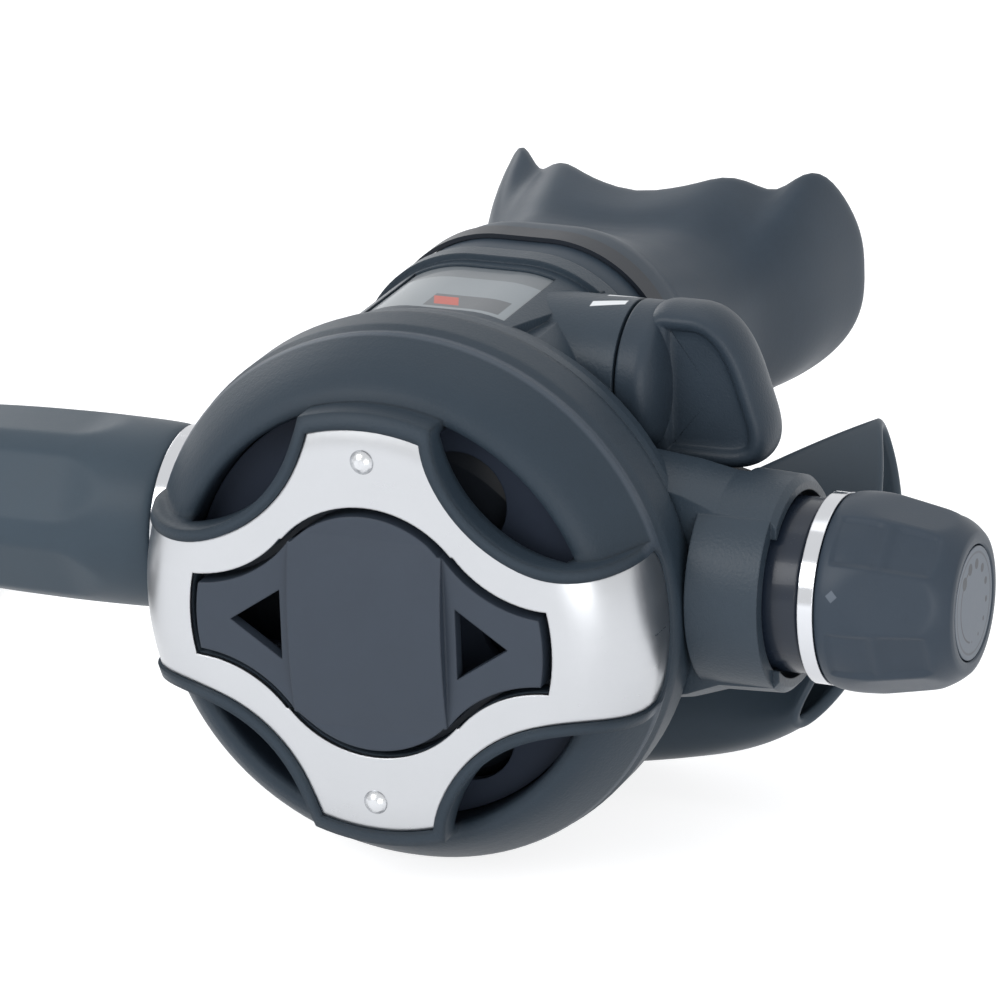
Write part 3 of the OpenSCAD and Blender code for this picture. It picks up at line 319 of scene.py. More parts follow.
@dataclass(frozen=True)
class Finish:
    """A finish: its colour, gloss, grain and how far they vary.

    Attributes:
        colour: Base colour as seen on a screen, 0 to 255.
        rough: Roughness.
        metal: Metallic share.
        coat: Weight of a clear coat.
        grain: Width of the surface grain in millimetres, or 0 for none.
        depth: Height of that grain in millimetres.
        stretch: How much finer the grain is along X, Y and Z.
        mottle: How far the colour varies over a few millimetres.
        gloss_spread: How far the roughness varies.
        edge: Radius of the softened edges in millimetres.
        shine: Strength of the mirrored light.
    """

    colour: Colour
    rough: float
    metal: float = 0.0
    coat: float = 0.0
    grain: float = 0.0
    depth: float = 0.0
    stretch: tuple[float, float, float] = (1.0, 1.0, 1.0)
    mottle: float = 0.06
    gloss_spread: float = 0.06
    edge: float = 0.3
    shine: float = 0.32

    def build(self, name: str, paint: Optional[Callable[[Painter], None]] = None) -> bpy.types.Material:
        """Makes the material.

        Args:
            name: The material's name.
            paint: The painter's method that lays its markings and any painted highlight or shade.

        Returns:
            The material.
        """
        graph = Graph(name)
        base = linear(*self.colour)
        cloud, fine = graph.noise(0.006, 3.0, 0.6), graph.noise(0.0009, 2.0, 0.6)
        shade = (cloud - 0.5) + (fine - 0.5) * 0.5 + 0.5
        spread = 1.2 * self.mottle
        dark = tuple(c * (1 - spread) for c in base)
        light = tuple(min(1.0, c * (1 + spread)) for c in base)
        colour = graph.mix(shade, dark, light)
        rough: Number = (fine - 0.5) * self.gloss_spread + (cloud - 0.5) * self.gloss_spread + self.rough
        height = graph.noise(self.grain * MM, 2.0, 0.6, graph.stretched(*self.stretch)) if self.grain else None
        painter = Painter(graph, colour, rough)
        if paint:
            paint(painter)
        inputs = {
            "Base Color": painter.colour,
            "Roughness": painter.rough,
            "Metallic": self.metal,
            "Coat Weight": self.coat,
            "Specular IOR Level": self.shine if self.metal < 0.5 else 0.5,
        }
        normal = None
        if self.edge > 0:
            normal = graph.wire(graph.node("ShaderNodeBevel", {"samples": 4}, {"Radius": self.edge * MM}))
        if height is not None:
            bump = {"Height": height, "Distance": (self.depth or 0.01) * MM, "Strength": 1.0}
            if normal is not None:
                bump["Normal"] = normal
            normal = graph.wire(graph.node("ShaderNodeBump", inputs=bump))
        if normal is not None:
            inputs["Normal"] = normal
        shader = graph.node("ShaderNodeBsdfPrincipled", inputs=inputs)
        graph.node("ShaderNodeOutputMaterial", inputs={0: graph.wire(shader)})
        return graph.material


class Look(Enum):
    """The finishes: the material's name, the finish and the CAD nodes that wear it."""

    CASE = ("case_plastic", Finish((48, 59, 69), 0.4, grain=0.4, depth=0.05, shine=0.3), ("case",))
    COVER = (
        "cover_plastic",
        Finish((43, 54, 64), 0.46, grain=0.4, depth=0.05, edge=1.8, shine=0.24),
        ("front_cover",),
    )
    INNER = ("inner_plastic", Finish((42, 49, 62), 0.6, grain=0.3, depth=0.01, shine=0.15), ("cover_spider",))
    BUTTON = ("button_plastic", Finish((52, 60, 71), 0.42, grain=0.16, depth=0.004, edge=0.4), ("purge_button",))
    LEVER = (
        "lever_plastic",
        Finish((48, 58, 68), 0.42, grain=0.35, depth=0.04, edge=0.0, shine=0.26),
        ("venturi_lever", "venturi_vane"),
    )
    KNOB = ("knob_plastic", Finish((50, 60, 71), 0.42, grain=0.3, depth=0.01, edge=0.0, shine=0.26), ("adjust_knob",))
    CAP = ("knob_cap", Finish((84, 93, 104), 0.4, grain=0.3, depth=0.006), ("knob_cap",))
    SLEEVE = (
        "sleeve_rubber",
        Finish((58, 70, 80), 0.46, grain=0.4, depth=0.01, edge=0.0, shine=0.22),
        ("hose_sleeve",),
    )
    MOUTHPIECE = (
        "mouth_rubber",
        Finish((50, 61, 72), 0.42, grain=0.6, depth=0.01, mottle=0.1, edge=0.0, shine=0.22),
        ("mouthpiece",),
    )
    TEE = ("tee_rubber", Finish((57, 68, 78), 0.42, grain=0.5, depth=0.012, edge=0.0, shine=0.24), ("exhaust_tee",))
    COLLAR = ("collar_gloss", Finish((30, 38, 50), 0.26, coat=0.12, edge=0.4, shine=0.3), ("packing_nut",))
    HOSE = ("hose_rubber", Finish((38, 42, 49), 0.42, grain=0.5, depth=0.01, edge=0.0), ("hose_run", "hose_coil"))
    SEAL = (
        "seal_rubber",
        Finish((16, 17, 19), 0.4, grain=0.3, depth=0.003, edge=0.0),
        ("orifice_o_ring", "poppet_seat", "spindle_o_ring", "vane_o_ring", "end_o_rings"),
    )
    SILICONE = (
        "silicone",
        Finish((28, 32, 38), 0.35, grain=0.5, depth=0.003, edge=0.2),
        ("diaphragm", "exhaust_valve"),
    )
    STRAP = (
        "strap_nylon",
        Finish((34, 39, 47), 0.4, grain=0.3, depth=0.006, edge=0.0),
        ("mouthpiece_strap", "hose_tie"),
    )
    PLATE = (
        "plate_steel",
        Finish((190, 192, 195), 0.3, metal=1.0, grain=0.06, depth=0.0008, stretch=(1, 1, 0.02), mottle=0.02),
        ("trim_plate",),
    )
    STEEL = (
        "steel",
        Finish((205, 207, 210), 0.24, metal=1.0, grain=0.1, depth=0.001),
        ("trim_rivets", "diaphragm_disc", "demand_lever", "adjust_spindle"),
    )
    CHROME = ("chrome", Finish((206, 208, 212), 0.1, metal=1.0, mottle=0.02, edge=0.2), ("knob_ring", "inlet_nut"))
    PLATED = (
        "plated_brass",
        Finish((208, 210, 214), 0.2, metal=1.0, grain=0.1, depth=0.001),
        ("valve_barrel", "hose_nut", "hose_ferrule", "end_ferrule", "end_fitting"),
    )
    BRASS = (
        "brass",
        Finish((196, 168, 104), 0.3, metal=1.0, grain=0.1, depth=0.001),
        ("inlet_orifice", "poppet", "spring_pad"),
    )
    SPRING = (
        "spring_steel",
        Finish((176, 178, 182), 0.28, metal=1.0, grain=0.1, depth=0.001, edge=0.0),
        ("purge_spring", "poppet_spring"),
    )
    LABEL = (
        "label_print",
        Finish((126, 133, 138), 0.35, coat=0.3, grain=0.1, depth=0.001, edge=0.1),
        ("label_plate",),
    )


PAINTS: dict[Look, Callable[[Painter], None]] = {
    Look.LABEL: Painter.label,
    Look.CASE: Painter.case,
    Look.COVER: Painter.cover,
    Look.PLATE: Painter.plate,
    Look.KNOB: Painter.knob,
    Look.CAP: Painter.knob_cap,
}


def make_looks() -> dict[Look, bpy.types.Material]:
    """Builds every finish once."""
    return {look: look.value[1].build(look.value[0], PAINTS.get(look)) for look in Look}


def dress(looks: dict[Look, bpy.types.Material]) -> None:
    """Gives every CAD node its finish.

    Args:
        looks: The materials by finish.
    """
    for look in Look:
        name, _, nodes = look.value
        for node in nodes:
            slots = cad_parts[node].data.materials
            slots.clear()
            slots.append(looks[look])
        LOG.info("%s: %s", name, ", ".join(nodes))


# ---- meshes


class Ends(Enum):
    """How a grid's first and last rows are closed."""

    JOINED = "joined"
    CAPPED = "capped"


class Body(Enum):
    """The moving bodies that new pieces ride on."""

    REGULATOR = "regulator"
    KNOB = "knob"
    VENTURI = "venturi"


def smooth_rows(values: np.ndarray, steps: int) -> np.ndarray:
    """Rounds a table of rows into a finer one, by a monotone cubic in each column.

    Args:
        values: Array of shape (rows, columns).
        steps: Rows to put between neighbours.

    Returns:
        The finer table, which still passes through every given row.
    """
    rows = len(values)
    slope = np.zeros_like(values)
    step = np.diff(values, axis=0)
    same = step[1:] * step[:-1] > 0
    slope[1:-1] = np.where(same, 2 * step[1:] * step[:-1] / np.where(same, step[1:] + step[:-1], 1), 0)
    slope[0], slope[-1] = step[0], step[-1]
    t = np.linspace(0, rows - 1, (rows - 1) * steps + 1)
    i = np.minimum(t.astype(int), rows - 2)
    u = (t - i)[:, None]
    a, b, ma, mb = values[i], values[i + 1], slope[i], slope[i + 1]
    rise, fall = 3 * u**2 - 2 * u**3, u**3 - u**2
    return (1 - rise) * a + rise * b + (u**3 - 2 * u**2 + u) * ma + fall * mb


def softened(corners: np.ndarray, cut: Union[float, np.ndarray], steps: int = 5) -> np.ndarray:
    """Rounds every corner of a closed outline with a parabola that starts a cut's length away from it.

    Args:
        corners: Array of shape (n, k).
        cut: Length taken off both edges at a corner, one for all or one each.
        steps: Straight pieces of each rounding.

    Returns:
        An array of shape (n * (steps + 1), k).
    """
    corners = np.asarray(corners, float)
    cut = np.broadcast_to(np.asarray(cut, float), len(corners))[:, None]
    ends = []
    for shift in (1, -1):
        edge = np.roll(corners, shift, 0) - corners
        length = np.linalg.norm(edge, axis=1, keepdims=True)
        ends.append(corners + edge / length * np.minimum(cut, 0.48 * length))
    t = np.linspace(0, 1, steps + 1)[None, :, None]
    arc = (1 - t) ** 2 * ends[0][:, None] + 2 * t * (1 - t) * corners[:, None] + t**2 * ends[1][:, None]
    return arc.reshape(-1, corners.shape[1])


def smoothstep(value: np.ndarray, low: float, high: float) -> np.ndarray:
    """Rises from zero at low to one at high along a cubic."""
    u = np.clip((value - low) / (high - low), 0, 1)
    return u * u * (3 - 2 * u)


def full_turn(count: int) -> np.ndarray:
    """Angles evenly round a circle, as one row."""
    return np.linspace(0, 2 * np.pi, count, endpoint=False)[None, :]


def power_round(angle: np.ndarray, power: np.ndarray) -> tuple[np.ndarray, np.ndarray]:
    """Cosine and sine raised to 2/power with their signs kept, which draw a superellipse."""
    c, s = np.cos(angle), np.sin(angle)
    return np.sign(c) * np.abs(c) ** (2 / power), np.sign(s) * np.abs(s) ** (2 / power)


def about_x(along: np.ndarray, radius: np.ndarray, angle: np.ndarray, y: float, z: float) -> np.ndarray:
    """Grid turned about a line along X: each row lies at one x, at its radii and angles from +Y towards +Z."""
    along, radius = np.broadcast_arrays(along, radius * np.ones_like(angle))
    return np.stack([along, y + radius * np.cos(angle), z + radius * np.sin(angle)], -1)


def surface(grid: np.ndarray, ends: Ends) -> Skin:
    """Closes a grid whose columns go round into a solid skin that faces outwards.

    Args:
        grid: Array of shape (rows, columns, 3).
        ends: Whether the last row meets the first or both get a fan of triangles.

    Returns:
        The points and the faces.
    """
    rows, columns, _ = grid.shape
    joined = ends is Ends.JOINED
    r = np.arange(rows if joined else rows - 1)[:, None]
    c = np.arange(columns)[None, :]
    after, along = (r + 1) % rows * columns, (c + 1) % columns
    quads = np.stack(np.broadcast_arrays(r * columns + c, r * columns + along, after + along, after + c), -1)
    quads = quads.reshape(-1, 4)
    points = grid.reshape(-1, 3)
    corners = points[quads] - points.mean(0)
    halves = (corners[:, [0, 1, 2]], corners[:, [0, 2, 3]])
    volume = sum(np.einsum("ij,ij->i", h[:, 0], np.cross(h[:, 1], h[:, 2])).sum() for h in halves)
    faces = quads.tolist()
    if not joined:
        k = np.arange(columns)
        after = (k + 1) % columns
        last = (rows - 1) * columns
        points = np.vstack([points, grid[0].mean(0), grid[-1].mean(0)])
        faces += np.stack([after, k, np.full(columns, rows * columns)], 1).tolist()
        faces += np.stack([last + k, last + after, np.full(columns, rows * columns + 1)], 1).tolist()
    if volume < 0:
        faces = [face[::-1] for face in faces]
    return points, faces


def put(name: str, data: bpy.types.ID) -> bpy.types.Object:
    """Makes an object and links it to the scene.

    Args:
        name: The object's name.
        data: The mesh, curve, camera or lamp that it holds.

    Returns:
        The object.
    """
    made = bpy.data.objects.new(name, data)
    bpy.context.scene.collection.objects.link(made)
    return made


def make_piece(
    name: str, shells: Sequence[Skin], look: bpy.types.Material, body: Body, slot: str, *nodes: str
) -> bpy.types.Object:
    """Makes a smooth-shaded object from closed skins in the cover frame, and lets it ride on a body.

    Args:
        name: The piece's name.
        shells: Points in millimetres and faces, one pair a skin.
        look: Its material.
        body: The CAD body it moves with.
        slot: Not used.
        nodes: CAD nodes that it stands for.

    Returns:
        The object.
    """
    points, faces, start = [], [], 0
    for skin_points, skin_faces in shells:
        points.append(skin_points)
        faces += [[start + i for i in face] for face in skin_faces]
        start += len(skin_points)
    mesh = bpy.data.meshes.new(name)
    mesh.from_pydata(placed(np.vstack(points)).tolist(), [], faces)
    work = bmesh.new()
    work.from_mesh(mesh)
    bmesh.ops.remove_doubles(work, verts=work.verts, dist=MERGE)
    work.to_mesh(mesh)
    work.free()
    mesh.validate()
    mesh.polygons.foreach_set("use_smooth", np.ones(len(mesh.polygons), bool))
    mesh.materials.append(look)
    made = put(name, mesh)
    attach(made, body.value)
    if nodes:
        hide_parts(*nodes)
    LOG.info("%s: %d faces", name, len(mesh.polygons))
    return made


# ---- pieces


@dataclass
class Mouthpiece:
    """Bite mouthpiece: a hollow skin from the collar on the tube to the lip shield, and two bite tabs.

    Each section is [y, half of the flat middle, half width, half height, centre
    height, share of the shield's waves and sweep, outline power above, below].
    """

    collar_r: float = 16.3
    fit_r: float = 14.9
    bore_r: float = 13.4
    flat: float = 3.5
    tube_z: float = 18.7
    shield: tuple[float, float, float] = (26.5, 16.0, 15.5)
    sweep: float = 18.5
    around: int = 112
    bite_x: float = 17.5
    bite_size: tuple[float, float] = (8.5, 10.0)
    bite_reach: tuple[float, float] = (95.0, 115.0)

    def sections(self) -> np.ndarray:
        """The table of sections, from the collar's front out to the shield and back through the bore.

        Returns:
            Array of shape (sections, 8).
        """
        c, f, b, h, z = self.collar_r, self.fit_r, self.bore_r, self.flat, self.tube_z
        wide, tall, mid = self.shield
        return np.array([
            [45, h, f, f, z, 0, 2, 2], [45, h, c - 0.7, c - 0.7, z, 0, 2, 2], [45.9, h, c, c, z, 0, 2, 2],
            [57, h, c, c, z, 0, 2, 2], [61, h, c - 0.6, c - 0.8, z - 0.4, 0, 2, 2],
            [66, h, c - 0.7, c - 2.2, z - 1.1, 0.05, 2, 2.2], [72, h, c - 0.4, c - 3.6, z - 1.8, 0.2, 2, 2.4],
            [78, h, c + 0.6, c - 4, z - 2.4, 0.4, 2.2, 2.8], [83, 0, wide - 3, tall - 1.2, mid, 0.65, 2.5, 3.2],
            [87, 0, wide - 0.8, tall - 0.3, mid, 0.9, 2.6, 3], [89.4, 0, wide, tall, mid, 1, 2.6, 3],
            [90.8, 0, wide - 0.3, tall - 0.3, mid, 1, 2.6, 3], [91, 0, wide - 2, tall - 1.6, mid, 0.95, 2.6, 3],
            [88.8, 0, wide - 6, tall - 4, mid, 0.7, 2.4, 3], [87.6, 0, 12.5, 7.6, mid, 0.3, 2.3, 2.3],
            [85.5, 0, 11.5, 7, mid, 0, 2.3, 2.3], [76, 0, 12.5, 8, mid + 0.5, 0, 2.2, 2.2],
            [65, h, b - 1.5, b - 2.5, z - 1, 0, 2, 2], [55, h, b, b, z, 0, 2, 2], [52.2, h, b, b, z, 0, 2, 2],
            [52.2, h, f, f, z, 0, 2, 2],
        ])

    def crest(self, x: np.ndarray) -> np.ndarray:
        """Height added to the top edge: bell curves in |x| for middle, lobes, notches and horns.

        Args:
            x: Distances from the middle.

        Returns:
            The heights.
        """
        u = np.abs(x) / self.shield[0]
        bells = ((-1.5, 0, 0.26), (1.2, 0.46, 0.14), (-1, 0.66, 0.09), (6.0, 0.86, 0.15))
        return sum(size * np.exp(-(((u - at) / wide) ** 2)) for size, at, wide in bells)

    def skin(self) -> Skin:
        """Superellipses with a flat middle, swept back by the square of x and waved along the top.

        Returns:
            The points and the faces.
        """
        y, half, a, b, z, wave, up, low = (v[:, None] for v in smooth_rows(self.sections(), 4).T)
        turn = np.radians(np.linspace(-90, 90, self.around // 2))
        angle = np.concatenate([turn, turn + np.pi])[None, :]
        side = np.repeat([1.0, -1.0], self.around // 2)[None, :]
        power = np.where(np.sin(angle) < 0, low, up)
        across, high = power_round(angle, power)
        x = half * side + a * np.abs(across) * side
        h = b * high
        back = y + wave * self.sweep * (x / self.shield[0]) ** 2
        top = np.where(h > 0, wave * self.crest(x) * h / b, 0)
        return surface(np.stack([x, back, z + h + top], -1), Ends.JOINED)

    def bite_tab(self, side: float) -> list[Skin]:
        """A tab to bite on: an L-shaped bar with soft edges and an upright lug at its end.

        Args:
            side: 1 for the right tab, -1 for the left.

        Returns:
            The skins of bar and lug.
        """
        w, h = self.bite_size[0] / 2, self.bite_size[1] / 2
        start, end = self.bite_reach
        bar = [[-w, -h], [w, -h], [w, 2.2 - h], [2.4 - w, 2.2 - h], [2.4 - w, h], [-w, h]]
        lug = [[-w, -h], [w, -h], [w, h], [-w, h]]
        made = []
        for corners, cut, ys, scales in (
            (bar, 1.0, (start, end - 1.5), (1, 1)),
            (lug, 2.6, (end - 3, end - 2.7, end - 0.9, end - 0.3, end), (0.86, 0.98, 1, 0.94, 0.8)),
        ):
            outline = softened(np.array(corners), cut)[None] * np.array(scales)[:, None, None]
            along = np.broadcast_to(np.array(ys)[:, None], outline.shape[:2])
            x = side * (self.bite_x + outline[..., 0])
            made.append(surface(np.stack([x, along, self.shield[2] + outline[..., 1]], -1), Ends.CAPPED))
        return made

    def make(self, look: bpy.types.Material) -> None:
        """Builds the piece in one object.

        Args:
            look: Its material.
        """
        shells = [self.skin(), *self.bite_tab(1), *self.bite_tab(-1)]
        make_piece("mouthpiece_skin", shells, look, Body.REGULATOR, "mouth_rubber", "mouthpiece")


@dataclass
class ExhaustTee:
    """Rubber exhaust tee: a duct along X whose section widens, rises and leans back to its two outlets."""

    half: float = 42.0
    floor: float = -35.9
    middle: tuple[float, float, float] = (47.0, 15.2, 8.6)
    outlet: tuple[float, float, float] = (55.0, 22.5, 6.6)
    outlet_z: float = -8.0
    lean: float = 45.0
    bulge: float = 5.5
    wall: float = 1.8
    flare: float = 1.7
    powers: tuple[float, float] = (3.2, 2.2)
    stations: int = 71
    around: int = 88

    def loops(self, x: np.ndarray, inset: np.ndarray, push: np.ndarray) -> np.ndarray:
        """Leaning superellipses at x whose sizes grow with |x| to the power of the flare.

        Args:
            x: Stations along the duct.
            inset: How far each loop shrinks.
            push: How far each loop is moved outwards.

        Returns:
            A grid of points.
        """
        x, inset, push = (v[:, None] for v in (x, inset, push))
        s = np.minimum(1, np.abs(x) / self.half) ** self.flare
        y0, tall, deep = (m + (o - m) * s for m, o in zip(self.middle, self.outlet))
        low = self.floor + self.middle[1]
        z0 = low + (self.outlet_z - low) * s
        lean = np.radians(self.lean * s)
        angle = full_turn(self.around)
        c, v = power_round(angle, self.powers[0] + (self.powers[1] - self.powers[0]) * s)
        dy, dz = (deep - inset) * c, (tall - inset) * v
        side = np.sign(x)
        out = side * (s * (self.bulge * (1 - v**2) + v) + push)
        y = y0 + dy * np.cos(lean) + dz * np.sin(lean)
        return np.stack([x + out, y, z0 + dz * np.cos(lean) - dy * np.sin(lean)], -1)

    def make(self, look: bpy.types.Material) -> None:
        """Outer skin, two rounded rims of half a wall and the inner skin, all in one joined grid.

        Args:
            look: Its material.
        """
        reach = self.half - self.wall / 2
        x = np.linspace(-reach, reach, self.stations)
        turn = np.radians(np.linspace(15, 165, 9))
        inset, push = self.wall / 2 * (1 - np.cos(turn)), self.wall / 2 * np.sin(turn)
        ones = np.ones_like
        grid = np.vstack([
            self.loops(x, 0 * x, 0 * x),
            self.loops(reach * ones(turn), inset, push),
            self.loops(x[::-1], self.wall * ones(x), 0 * x),
            self.loops(-reach * ones(turn), inset[::-1], push[::-1]),
        ])
        shell = surface(grid, Ends.JOINED)
        make_piece("exhaust_tee_skin", [shell], look, Body.REGULATOR, "tee_rubber", "exhaust_tee")


@dataclass
class HoseSleeve:
    """Rubber sleeve over the hose's fitting, with long shallow grip hollows round it."""

    axis: tuple[float, float] = (25.5, 1.0)
    start: float = -39.1
    end: float = -100.0
    radius: float = 12.5
    tail_r: float = 8.8
    bore: tuple[float, float, float] = (10.5, 8.5, 6.15)
    hollows: int = 6
    hollow_depth: float = 0.85
    around: int = 144

    def make(self, look: bpy.types.Material) -> None:
        """A turned profile; each hollow is a plane sunk under it, of radius depth / cos of the angle off its middle.

        Args:
            look: Its material.
        """
        r, s = self.radius, self.start
        outer = smooth_rows(np.array([
            [s, r - 1.3], [s - 0.25, r - 0.7], [s - 1, r - 0.35], [s - 5, r - 0.1], [s - 13, r], [-60, r - 0.1],
            [-70, r - 0.5], [-82, r - 1.9], [-92, self.tail_r + 0.9], [self.end + 0.6, self.tail_r],
            [self.end, self.tail_r - 0.7],
        ]), 8)
        nut, ferrule, hose = self.bore
        inner = np.array([
            [self.end, hose + 0.3], [-99.6, hose], [-80, hose], [-80, ferrule], [-54.4, ferrule], [-54.4, nut],
            [s - 0.6, nut], [s, nut + 0.5],
        ])
        angle = full_turn(self.around)
        x, size = outer[:, :1], outer[:, 1:]
        share = smoothstep(-x, 45, 53) * smoothstep(x, -95, -84)
        pitch = 2 * np.pi / self.hollows
        off = angle % pitch - pitch / 2
        clear = 0.15
        plane = (size + clear - (self.hollow_depth + clear) * share) / np.cos(off)
        skin = about_x(x, np.minimum(size, plane), angle, *self.axis)
        lining = about_x(inner[:, :1], inner[:, 1:], angle, *self.axis)
        shell = surface(np.vstack([skin, lining]), Ends.JOINED)
        make_piece("hose_sleeve_skin", [shell], look, Body.REGULATOR, "sleeve_rubber", "hose_sleeve")


@dataclass
class Knob:
    """Breathing knob: a tapered barrel with ten soft flats, every other one sunk for grip."""

    axis: tuple[float, float] = (25.5, 1.0)
    ring_x: float = 50.75
    start: float = 52.75
    length: float = 17.3
    hub_r: float = 7.9
    cone: tuple[float, float, float, float] = (54.95, 71.05, 13.55, 10.5)
    cut: float = 0.953
    soft: float = 0.1
    flats: int = 10
    first_flat: float = 165.6
    sink: float = 0.4
    around: int = 240

    def profile(self) -> np.ndarray:
        """Rows of the turned barrel: x, radius and how far the flats cut it.

        Returns:
            Array of shape (rows, 3).
        """
        s, e = self.start, self.start + self.length
        table = np.array([
            [s, 11.9, 0], [s + 0.3, 12.3, 0], [s + 1.4, 12.7, 0], [s + 4, 12.85, 0.6], [s + 8.2, 12.75, 1],
            [s + 12.3, 11.9, 1], [e - 2.4, 10.75, 1], [e - 0.9, 9.75, 0.8], [e - 0.15, 9.0, 0.3], [e, 8.4, 0],
            [e, 7.9, 0], [e - 0.2, 7.55, 0], [e - 1.2, 7.4, 0],
        ])
        return smooth_rows(table, 7)

    def windows(self, x: np.ndarray, off: np.ndarray) -> np.ndarray:
        """Share of a sunk window: one near the collar and one near the end, within a flat's width.

        Args:
            x: Places along the axis.
            off: Angles from the flat's middle.

        Returns:
            One inside a window, zero outside, with soft edges.
        """
        along = x - self.start
        near = smoothstep(along, 1.6, 2.1) * smoothstep(-along, -7.6, -7.1)
        far = smoothstep(along, 8.5, 9.0) * smoothstep(-along, -14.9, -13.6)
        return (near + far) * smoothstep(-np.abs(off), -math.radians(16), -math.radians(14.2))

    def make(self, look: bpy.types.Material) -> None:
        """Radius is the soft lower of the round barrel and the flats' cone of planes, less the sunk windows.

        Args:
            look: Its material.
        """
        x, barrel, share = (v[:, None] for v in self.profile().T)
        angle = full_turn(self.around)
        pitch = 2 * np.pi / self.flats
        turn = (angle - math.radians(self.first_flat)) / pitch
        number = np.round(turn)
        off = (turn - number) * pitch
        first_x, last_x, first_r, last_r = self.cone
        flat = self.cut * (first_r - (first_r - last_r) * (x - first_x) / (last_x - first_x)) / np.cos(off)
        flat = barrel + (np.minimum(flat, barrel + 1) - barrel) * share
        soft = self.soft
        radius = -soft * np.log(np.exp(-barrel / soft) + np.exp(-flat / soft)) + soft * 0.3
        radius = radius - self.sink * (number % 2) * self.windows(x, off)
        grip = about_x(x, radius, angle, *self.axis)
        hub = about_x(np.array([[self.ring_x], [self.start - 0.02]]), self.hub_r, angle, *self.axis)
        shell = surface(np.vstack([hub, grip]), Ends.CAPPED)
        make_piece("knob_grip", [shell], look, Body.KNOB, "knob_plastic", "adjust_knob")


@dataclass
class VenturiLever:
    """Pre-dive lever: a round hub and a D-shaped paddle with a thick rolled rim round a sunk field."""

    axis: tuple[float, float] = (35.0, 24.0)
    drop: float = 0.6
    start: float = 21.9
    hub_r: float = 9.5
    thick: float = 8.0
    corners: tuple = ((23.4, -10.7), (42.6, -10.7), (36.0, 10.7), (23.4, 10.7))
    cuts: tuple = (4.0, 8.6, 9.4, 4.0)
    field_x: float = 24.3
    middle: tuple[float, float] = (33.0, -0.4)
    around: int = 128

    def outline(self) -> tuple[np.ndarray, np.ndarray]:
        """Points of the paddle's rounded outline, and their inward normals.

        Returns:
            Two arrays of shape (n, 2).
        """
        line = softened(np.array(self.corners), np.array(self.cuts), 24)
        ahead = np.roll(line, -1, 0) - np.roll(line, 1, 0)
        ahead /= np.linalg.norm(ahead, axis=1, keepdims=True)
        return line, np.stack([-ahead[:, 1], ahead[:, 0]], 1)

    def half(self, side: float) -> np.ndarray:
        """Rows of one face: a quarter round over the rim, a roll down into the field and the field itself.

        Args:
            side: 1 for the back face, -1 for the front.

        Returns:
            The grid, from the paddle's edge to the middle of the field, which ends straight by the hub.
        """
        line, inward = self.outline()
        t = self.thick / 2
        turn = np.radians(np.arange(0, 91, 10))
        rim = np.stack([1.7 * (1 - np.cos(turn)), t * np.sin(turn)], 1)
        rows = np.vstack([rim, [[2.1, t - 0.06], [2.5, t - 0.25], [2.8, t - 0.6], [2.95, t - 0.95], [3.2, t - 1.1]]])
        centre = np.array(self.middle)
        ring = line[None] + inward[None] * rows[:, :1, None]
        wall = np.where(rows[:, :1] > 2, self.field_x + rows[:, :1], self.start)
        ring[..., 0] = np.maximum(ring[..., 0], wall)
        floor = [centre + (ring[-1] - centre) * k for k in (0.85, 0.6, 0.3)]
        ring = np.concatenate([ring, np.array(floor)])
        depth = np.concatenate([rows[:, 1], [t - 1.15, t - 1.15, t - 1.15]])
        y = np.broadcast_to(self.axis[0] + side * depth[:, None], ring.shape[:2])
        return np.stack([ring[..., 0], y, self.axis[1] - self.drop + ring[..., 1]], -1)

    def hub(self) -> Skin:
        """Turned hub whose end sweeps down into the paddle.

        Returns:
            The points and the faces.
        """
        s, r = self.start, self.hub_r
        profile = smooth_rows(np.array([
            [s, r - 0.5], [s + 0.1, r - 0.15], [s + 0.5, r], [s + 2.6, r], [s + 3.9, r - 0.5], [s + 4.6, r - 1.6],
            [s + 5.1, r - 3.2], [s + 5.4, r - 5.0], [s + 5.6, r - 6.4],
        ]), 5)
        angle = full_turn(self.around)
        return surface(about_x(profile[:, :1], profile[:, 1:], angle, *self.axis), Ends.CAPPED)

    def make(self, look: bpy.types.Material) -> None:
        """Builds hub and paddle in one object.

        Args:
            look: Its material.
        """
        paddle = np.concatenate([self.half(-1)[::-1], self.half(1)[1:]])
        shells = [self.hub(), surface(paddle, Ends.CAPPED)]
        make_piece("venturi_paddle", shells, look, Body.VENTURI, "lever_plastic", "venturi_lever")


